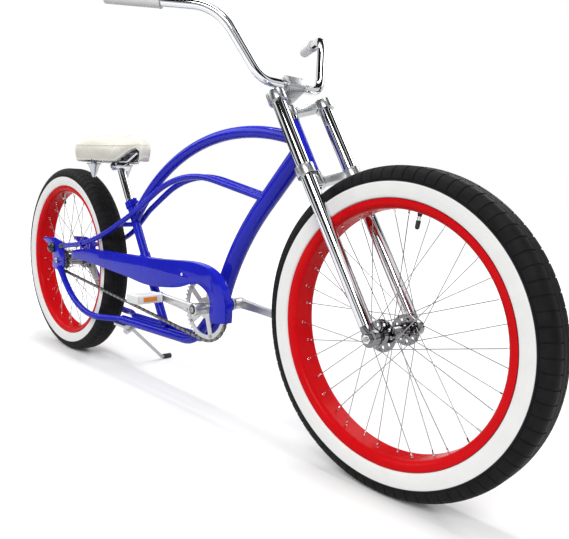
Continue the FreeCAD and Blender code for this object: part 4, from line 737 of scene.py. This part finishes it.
def chainPath():
    big, small = pitchRadius(chainFacts["ring"]), pitchRadius(chainFacts["sprocket"])
    gap = bracket - rearHub
    base, lean = atan2(gap.z, gap.x), asin((big - small) / gap.length)
    run = sqrt(gap.length ** 2 - (big - small) ** 2)
    wraps = (big * (pi + 2 * lean), small * (pi - 2 * lean))
    total = 2 * run + sum(wraps)
    topOut, lowOut = facing(base + pi / 2 + lean), facing(base - pi / 2 - lean)
    points = []
    for step in range(chainFacts["pathSteps"]):
        travel = total * step / chainFacts["pathSteps"]
        if travel < run:
            point = rearHub + topOut * small + facing(base + lean) * travel
        elif travel < run + wraps[0]:
            point = bracket + facing(base + pi / 2 + lean - (travel - run) / big) * big
        elif travel < 2 * run + wraps[0]:
            point = bracket + lowOut * big - facing(base - lean) * (travel - run - wraps[0])
        else:
            point = rearHub + facing(base - pi / 2 - lean - (travel - 2 * run - wraps[0]) / small) * small
        points.append(point + acrossAxis * chainFacts["line"])
    return points, total


def linkPlate(side, thickness):
    # a waisted plate between two pins, flat across the chain
    half, tall, waist = chainFacts["pitch"] / 2, chainFacts["plateHalf"], chainFacts["waist"]
    rim = [(half + tall * cos(turn), tall * sin(turn)) for turn in
           (radians(degrees) for degrees in (-90, -45, 0, 45, 90))]
    rim += [(0, waist)] + [(-x, z) for x, z in reversed(rim)] + [(0, -waist)]
    count = len(rim)
    points = [Vector((x, side, z)) for x, z in rim] + [Vector((x, side + thickness, z)) for x, z in rim]
    faces = [tuple(range(count)), tuple(range(2 * count - 1, count - 1, -1))]
    return newMesh("linkPlate", points, faces + gridFaces(2, count, False))


def linkShape(name, gap, inside):
    meshes = [linkPlate(gap, chainFacts["plate"]), linkPlate(-gap, -chainFacts["plate"])]
    reach = gap if inside else gap + chainFacts["plate"] + chainFacts["pinProud"]
    radius = chainFacts["roller"] if inside else chainFacts["pin"]
    for end in (-1, 1):
        spot = Vector((end * chainFacts["pitch"] / 2, -reach, 0))
        meshes.append(lathe("pin", [(0, radius), (2 * reach, radius)], spot, acrossAxis, 8))
    return tidyMesh(joined(name, meshes))


pathPoints, chainLength = chainPath()
linkCount = 2 * round(chainLength / chainFacts["pitch"] / 2)
for odd, (label, inside, finish) in enumerate((("inner", True, chainDark), ("outer", False, chainSteel))):
    shape = linkShape(label, chainFacts[label + "Gap"], inside)
    mesh = laidAlong(label + "Links", pathPoints, shape, linkCount, odd, finish)
    addPiece("chain_%sLinks" % label, tidyMesh(mesh, 40), None, "frame",
             ["drive_chain"] if inside else ())
print("chain laid:", linkCount, "links")


# pieces whose edges are eased: a copy of the solid with its sharp edges rounded to catch the light
# each row is (width of the easing, body, slot)
easedEdges = {"upper_crown": (0.0022, "fork", "chrome"), "lower_crown": (0.0022, "fork", "chrome"),
              "stem": (0.0030, "fork", "chrome"), "chainguard": (0.0007, "frame", "frame_paint"),
              "left_dropout": (0.0010, "frame", "frame_paint"), "right_dropout": (0.0010, "frame", "frame_paint"),
              "kickstand_bracket": (0.0008, "frame", "chrome"), "fork_lugs": (0.0008, "fork", "chrome"),
              "brake_arm": (0.0006, "frame", "steel"), "saddle_clamp": (0.0010, "saddle", "chrome")}
easing = {"weld": 0.000005, "flat": radians(1), "sharp": radians(40), "segments": 3}


def easedCopy(word, width):
    mesh = nodeCopy(word)
    work = bmesh.new()
    work.from_mesh(mesh)
    bmesh.ops.remove_doubles(work, verts=work.verts, dist=easing["weld"])
    bmesh.ops.dissolve_limit(work, angle_limit=easing["flat"], verts=work.verts, edges=work.edges)
    work.to_mesh(mesh)
    work.free()
    base = linked(word + "Base", mesh)
    modifier = base.modifiers.new("ease", "BEVEL")
    modifier.width = width
    modifier.segments = easing["segments"]
    modifier.limit_method = "ANGLE"
    modifier.angle_limit = easing["sharp"]
    eased = baked(base, modifier)
    drop(base)
    return tidyMesh(eased, 45)


for word, (width, body, slotName) in easedEdges.items():
    finish = nodes[word].data.materials[0]
    addPiece(word + "_eased", easedCopy(word, width), finish, body, [word])
print("edges eased:", len(easedEdges))


# crank arms: tapered, waisted and fluted on the outer face
crankLook = {"right": {"tip": (-0.0066, 0.3279), "boss": -0.0535, "inner": -0.084, "outer": -0.097},
             "left": {"tip": (0.3326, 0.3041), "boss": 0.048, "inner": 0.070, "outer": 0.083},
             "wide": 0.0155, "narrow": 0.0112, "waist": 0.0012, "chamfer": 0.0028, "rows": 24,
             "flute": 0.0022, "fluteFrom": 0.13, "fluteTo": 0.87, "fluteRun": 0.05, "fluteLip": 0.52,
             "fluteBed": 0.42, "bossRadius": 0.017, "tipRadius": 0.013, "bossEase": 0.001, "bossProud": 0.0006,
             "crownShare": 0.3,
             "ring": [(-0.001, 0.0086), (0.0008, 0.0086), (0.0014, 0.0092), (0.0014, 0.0122), (0.0006, 0.0130),
                      (-0.001, 0.0130)],
             "bolt": [(0, 0.0078), (0.0026, 0.0078), (0.0032, 0.0072), (0.0032, 0.0044), (0.0012, 0.0040),
                      (0.0012, 0)]}


def crankArm(word, outward):
    look, own = crankLook, crankLook[word]
    tip = Vector((own["tip"][0], 0, own["tip"][1]))
    along = (tip - bracket).normalized()
    wide = along.cross(acrossAxis)
    length = (tip - bracket).length
    inner, outer, chamfer = own["inner"], own["outer"], look["chamfer"]
    edge, lip, bed = chamfer * outward, look["fluteLip"], look["fluteBed"]
    points = []
    for row in range(look["rows"] + 1):
        share = row / look["rows"]
        half = look["wide"] + (look["narrow"] - look["wide"]) * share - look["waist"] * sin(pi * share)
        sunk = max(0, min(1, (share - look["fluteFrom"]) / look["fluteRun"],
                          (look["fluteTo"] - share) / look["fluteRun"]))
        cut = look["flute"] * outward * sunk
        outline = [(-half, inner + edge), (-half, outer - edge), (-half + chamfer, outer), (-lip * half, outer),
                   (-bed * half, outer - cut), (bed * half, outer - cut), (lip * half, outer),
                   (half - chamfer, outer), (half, outer - edge), (half, inner + edge),
                   (half - chamfer, inner), (-half + chamfer, inner)]
        points += [bracket + along * (length * share) + wide * u + acrossAxis * y for u, y in outline]
    count, rows = len(outline), look["rows"]
    faces = gridFaces(rows + 1, count, False)
    faces += [tuple(range(count)), tuple(range(rows * count, (rows + 1) * count))]
    meshes = [newMesh("arm", points, faces)]
    ease, crown = look["bossEase"], look["crownShare"]
    for spot, start, radius in ((bracket, own["boss"], look["bossRadius"]), (tip, inner, look["tipRadius"])):
        reach = abs(outer - start) + look["bossProud"]
        profile = [(0, radius - ease), (ease, radius), (reach - chamfer, radius),
                   (reach - chamfer * crown, radius - chamfer * crown), (reach, radius - chamfer)]
        meshes.append(lathe("boss", profile, spot + acrossAxis * start, acrossAxis * outward, 40))
    return tidyMesh(joined("crankArm", meshes), 40)


for word, outward in sides:
    addPiece(word + "_fluted_arm", crankArm(word, outward), castAlloy, "crankset", [word + "_crank_arm"])
    face = bracket + acrossAxis * (crankLook[word]["outer"] + crankLook["bossProud"] * outward)
    addTurned(word + "_crank_ring", crankLook["ring"], face, acrossAxis * outward, 40, panBlack, "crankset",
              closed=True)
    addTurned(word + "_crank_bolt", crankLook["bolt"], face, acrossAxis * outward, 24, boltSteel, "crankset")


# chainring bolts on the five arms
ringBolts = {"count": 5, "radius": 0.081, "face": -0.0548,
             "shape": [(-0.002, 0.0048), (0.0012, 0.0048), (0.0018, 0.0042), (0.0018, 0.0026), (0.0008, 0.0022),
                       (0.0008, 0)]}
spot = Vector((ringBolts["radius"], ringBolts["face"], 0))
mesh = grown("chainring_bolts", tidyMesh(lathe("ringBolt", ringBolts["shape"], spot, -acrossAxis, 12)), ringRow,
             {"Count": ringBolts["count"], "Centre": bracket, "Finish": boltSteel})
addPiece("chainring_bolts", tidyMesh(mesh), None, "crankset")
print("cranks shaped")


# pedals: end plates, barrel and two ribbed blocks, with an amber reflector on each long face
pedalLook = {"right": (-0.0066, -0.143, 0.3279), "left": (0.3326, 0.129, 0.3041), "half": (0.031, 0.042, 0.013),
             "plate": 0.0035, "plateInset": 0.0006, "corner": 0.0032, "barrel": 0.0098, "barrelInset": 0.003,
             "blockSpot": 0.0200, "blockHalf": (0.0100, 0.0120), "blockLap": 0.001,
             "ribs": 11, "ribHalf": (0.0082, 0.0016, 0.0008), "ribCorner": 0.0005, "ribLift": 0.0001,
             "ribMargin": 0.004, "lens": (0.0010, 0.0225, 0.0068), "lensCorner": 0.0008}


def pedalBlock(word):
    look = pedalLook
    centre, (long, across, tall) = Vector(look[word]), look["half"]
    plate, spot, (blockLong, blockTall) = look["plate"], look["blockSpot"], look["blockHalf"]
    reach = across - 2 * plate
    barrel = [(0, look["barrel"]), (2 * across - 2 * look["barrelInset"], look["barrel"])]
    meshes = [lathe("barrel", barrel, centre - acrossAxis * (across - look["barrelInset"]), acrossAxis, 28)]
    for end in (-1, 1):
        meshes.append(roundedBox("plate", centre + acrossAxis * (end * (across - plate)),
                                 (long - look["plateInset"], plate, tall), look["corner"]))
        meshes.append(roundedBox("block", centre + Vector((end * spot, 0, 0)),
                                 (blockLong, reach + look["blockLap"], blockTall), look["corner"]))
    ribs = [roundedBox("rib", Vector((end * spot, 0, up * (blockTall + look["ribLift"]))), look["ribHalf"],
                       look["ribCorner"], steps=1) for end in (-1, 1) for up in (-1, 1)]
    ribReach = reach - look["ribMargin"]
    grid = grown("ribs", joined("ribs", ribs), straightRow,
                 {"Count": look["ribs"], "Start": centre - acrossAxis * ribReach,
                  "Step": acrossAxis * (2 * ribReach / (look["ribs"] - 1)), "Finish": pedalWhite})
    return tidyMesh(joined(word + "_pedal_block", meshes + [grid]), 40)


for word, side in sides:
    addPiece(word + "_pedal_block", pedalBlock(word), pedalWhite, word + "_pedal_body",
             [word + "_pedal"])
    reach = pedalLook["half"][0] - pedalLook["lens"][0]
    lenses = [roundedBox("lens", Vector(pedalLook[word]) + Vector((end * reach, 0, 0)), pedalLook["lens"],
                         pedalLook["lensCorner"]) for end in (-1, 1)]
    addPiece(word + "_pedal_lenses", tidyMesh(joined("lenses", lenses), 40), amberLens, word + "_pedal_body")
print("pedals built")


# saddle cushion: the solid's own form blown up a little as cloth, its hidden inner side held
cushionLook = {"start": 0.0025, "voxel": 0.0042, "pressure": 4, "frames": 20, "cap": 0.0045, "heldBelow": -0.35,
               "peek": 0.002, "peekReach": 0.5, "blackFacesTop": 0.770, "middle": (-0.447, 0), "seamHeight": 0.7800,
               "seamFrom": 0.5, "seamRadius": 0.0013, "seamSteps": 360, "seamSmoothing": 3, "stitches": 190,
               "stitchDrop": 0.0042, "stitchHalf": (0.0016, 0.0004, 0.0004), "stitchCorner": 0.0003}


def remeshed(name, mesh, voxel):
    base = linked(name, mesh)
    modifier = base.modifiers.new("even", "REMESH")
    modifier.mode = "VOXEL"
    modifier.voxel_size = voxel
    base.data = baked(base, modifier)
    bpy.data.meshes.remove(mesh)
    return base


def looksInward(tree, spot, normal):
    # true where the cushion faces another part of itself
    hit = tree.ray_cast(spot + normal * cushionLook["peek"], normal, cushionLook["peekReach"])
    return hit[0] is not None


def blowUp(base):
    look, even = cushionLook, base.data
    rest = [vert.co.copy() for vert in even.vertices]
    cloth = base.modifiers.new("puff", "CLOTH")
    cloth.settings.use_pressure = True
    cloth.settings.uniform_pressure_force = look["pressure"]
    cloth.settings.effector_weights.gravity = 0
    cloth.settings.vertex_group_mass = "held"
    cloth.point_cache.frame_start = 1
    cloth.point_cache.frame_end = look["frames"]
    for number in range(1, look["frames"] + 1):
        scene.frame_set(number)
    graph = bpy.context.evaluated_depsgraph_get()
    blown = [vert.co.copy() for vert in base.evaluated_get(graph).data.vertices]
    base.modifiers.remove(cloth)
    scene.frame_set(1)
    for vert, before, after in zip(even.vertices, rest, blown):
        move = after - before
        if move.length > look["cap"]:
            move = move.normalized() * look["cap"]
        vert.co = before + move


def puffedCushion():
    look = cushionLook
    base = remeshed("cushionBase", tidyMesh(nodeCopy("saddle_cushion"), 60), look["voxel"])
    even = base.data
    work = bmesh.new()
    work.from_mesh(even)
    tree = BVHTree.FromBMesh(work)
    work.normal_update()
    hidden = {vert.index for vert in work.verts
              if looksInward(tree, vert.co, vert.normal) or vert.normal.z < look["heldBelow"]}
    for vert in work.verts:
        if vert.index not in hidden:
            vert.co -= vert.normal * look["start"]
    work.to_mesh(even)
    work.free()
    held = base.vertex_groups.new(name="held")
    held.add(sorted(hidden), 1, "REPLACE")
    blowUp(base)
    smooth = base.modifiers.new("smooth", "SUBSURF")
    smooth.levels = smooth.render_levels = 1
    soft = tidyMesh(baked(base, smooth), 70)
    drop(base)
    soft.materials.clear()
    soft.materials.append(saddleVinyl)
    soft.materials.append(panBlack)
    tree = BVHTree.FromPolygons([vert.co for vert in soft.vertices], [face.vertices for face in soft.polygons])
    for face in soft.polygons:  # faces below a set height that look onto another part of the cushion take the black finish
        blackened = face.center.z < look["blackFacesTop"] and looksInward(tree, face.center, face.normal)
        face.material_index = 1 if blackened else 0
    return soft


def seamPath(mesh, height):
    # walks round the cushion at one height by looking in from outside
    work = bmesh.new()
    work.from_mesh(mesh)
    tree = BVHTree.FromBMesh(work)
    middle = Vector(cushionLook["middle"] + (height,))
    count = cushionLook["seamSteps"]
    points = []
    for step in range(count):
        turn = 2 * pi * step / count
        outward = Vector((cos(turn), sin(turn), 0))
        points.append(tree.ray_cast(middle + outward * cushionLook["seamFrom"], -outward)[0])
    work.free()
    for smoothing in range(cushionLook["seamSmoothing"]):
        points = [(points[i - 1] + points[i] * 2 + points[(i + 1) % count]) / 4 for i in range(count)]
    return points


def tube(name, points, radius, around=8):
    count = len(points)
    corners = []
    for step in range(count):
        along = (points[(step + 1) % count] - points[step - 1]).normalized()
        out = along.cross(upAxis)
        for side in range(around):
            turn = 2 * pi * side / around
            corners.append(points[step] + out * (radius * cos(turn)) + upAxis * (radius * sin(turn)))
    return newMesh(name, corners, gridFaces(count, around, True))


cushionMesh = puffedCushion()
welt = seamPath(cushionMesh, cushionLook["seamHeight"])
stitchLine = seamPath(cushionMesh, cushionLook["seamHeight"] - cushionLook["stitchDrop"])
cushion = addPiece("padded_cushion", cushionMesh, None, "saddle", ["saddle_cushion"])
addPiece("cushion_welt", tidyMesh(tube("cushion_welt", welt, cushionLook["seamRadius"]), 60), saddleWelt, "saddle")
stitch = roundedBox("stitch", (0, 0, 0), cushionLook["stitchHalf"], cushionLook["stitchCorner"], steps=1)
mesh = laidAlong("cushion_stitches", stitchLine, tidyMesh(stitch), 2 * cushionLook["stitches"], 0, saddleWelt)
addPiece("cushion_stitches", tidyMesh(mesh, 60), None, "saddle")
print("cushion puffed:", len(cushionMesh.polygons), "faces")


# fork leg caps
forkRise = Vector((-0.5150381, 0, 0.8571673))
legCap = {"height": 0.603, "side": 0.081,
          "shape": [(-0.003, 0.0155), (-0.001, 0.0166), (0.0008, 0.0166), (0.0034, 0.0150), (0.0058, 0.0105),
                    (0.0068, 0.005), (0.0070, 0)]}
for word, side in sides:
    spot = frontHub + forkRise * legCap["height"] + acrossAxis * (side * legCap["side"])
    addTurned(word + "_leg_cap", legCap["shape"], spot, forkRise, 36, chromePlate, "fork", 50)

# black dome and band on the right stay's end
stayDome = {"spot": (-0.806, -0.066, 0.399),
            "shape": [(0, 0.0180), (0.0010, 0.0194), (0.0030, 0.0200), (0.0050, 0.0196), (0.0052, 0.0190),
                      (0.0095, 0.0184), (0.0140, 0.0158), (0.0175, 0.0112), (0.0195, 0.0060), (0.0200, 0)],
            "bandStart": (-0.695, -0.066, 0.4168), "bandAlong": (-0.9929, 0, -0.1187),
            "band": [(0, 0.0094), (0.0010, 0.0102), (0.0322, 0.0102), (0.0391, 0.00918), (0.0460, 0.00612)]}
addTurned("stay_dome", stayDome["shape"], stayDome["spot"], -acrossAxis, 40, domeBlack, "frame",
          30, ["stay_cap"])
addTurned("stay_band", stayDome["band"], stayDome["bandStart"], stayDome["bandAlong"], 28, panBlack, "frame",
          40)

# screw in the face of the chainguard
guardScrew = {"spot": (0.0739, -0.072, 0.4011),
              "shape": [(-0.001, 0.0046), (0.0006, 0.0046), (0.0016, 0.0038), (0.0022, 0.0024), (0.0014, 0.0018),
                        (0.0014, 0)]}
addTurned("guard_screw", guardScrew["shape"], guardScrew["spot"], -acrossAxis, 20, chromePlate, "frame")

# collars at the inner ends of the grips
gripCollar = {"end": (0.139, 0.335, 1.081), "inner": (0.353, 0.177, 1.056), "length": 0.132,
              "shape": [(-0.0030, 0.0135), (-0.0030, 0.0158), (-0.0022, 0.0164), (-0.0006, 0.0164), (0, 0.0158),
                        (0, 0.0135)]}
for word, side in sides:
    end, inner = (Vector((x, y * side, z)) for x, y, z in (gripCollar["end"], gripCollar["inner"]))
    towards = (inner - end).normalized()
    addTurned(word + "_grip_collar", gripCollar["shape"], end + towards * gripCollar["length"], towards, 36,
              gripRubber, "bars", 40, closed=True)
print("small trim added")
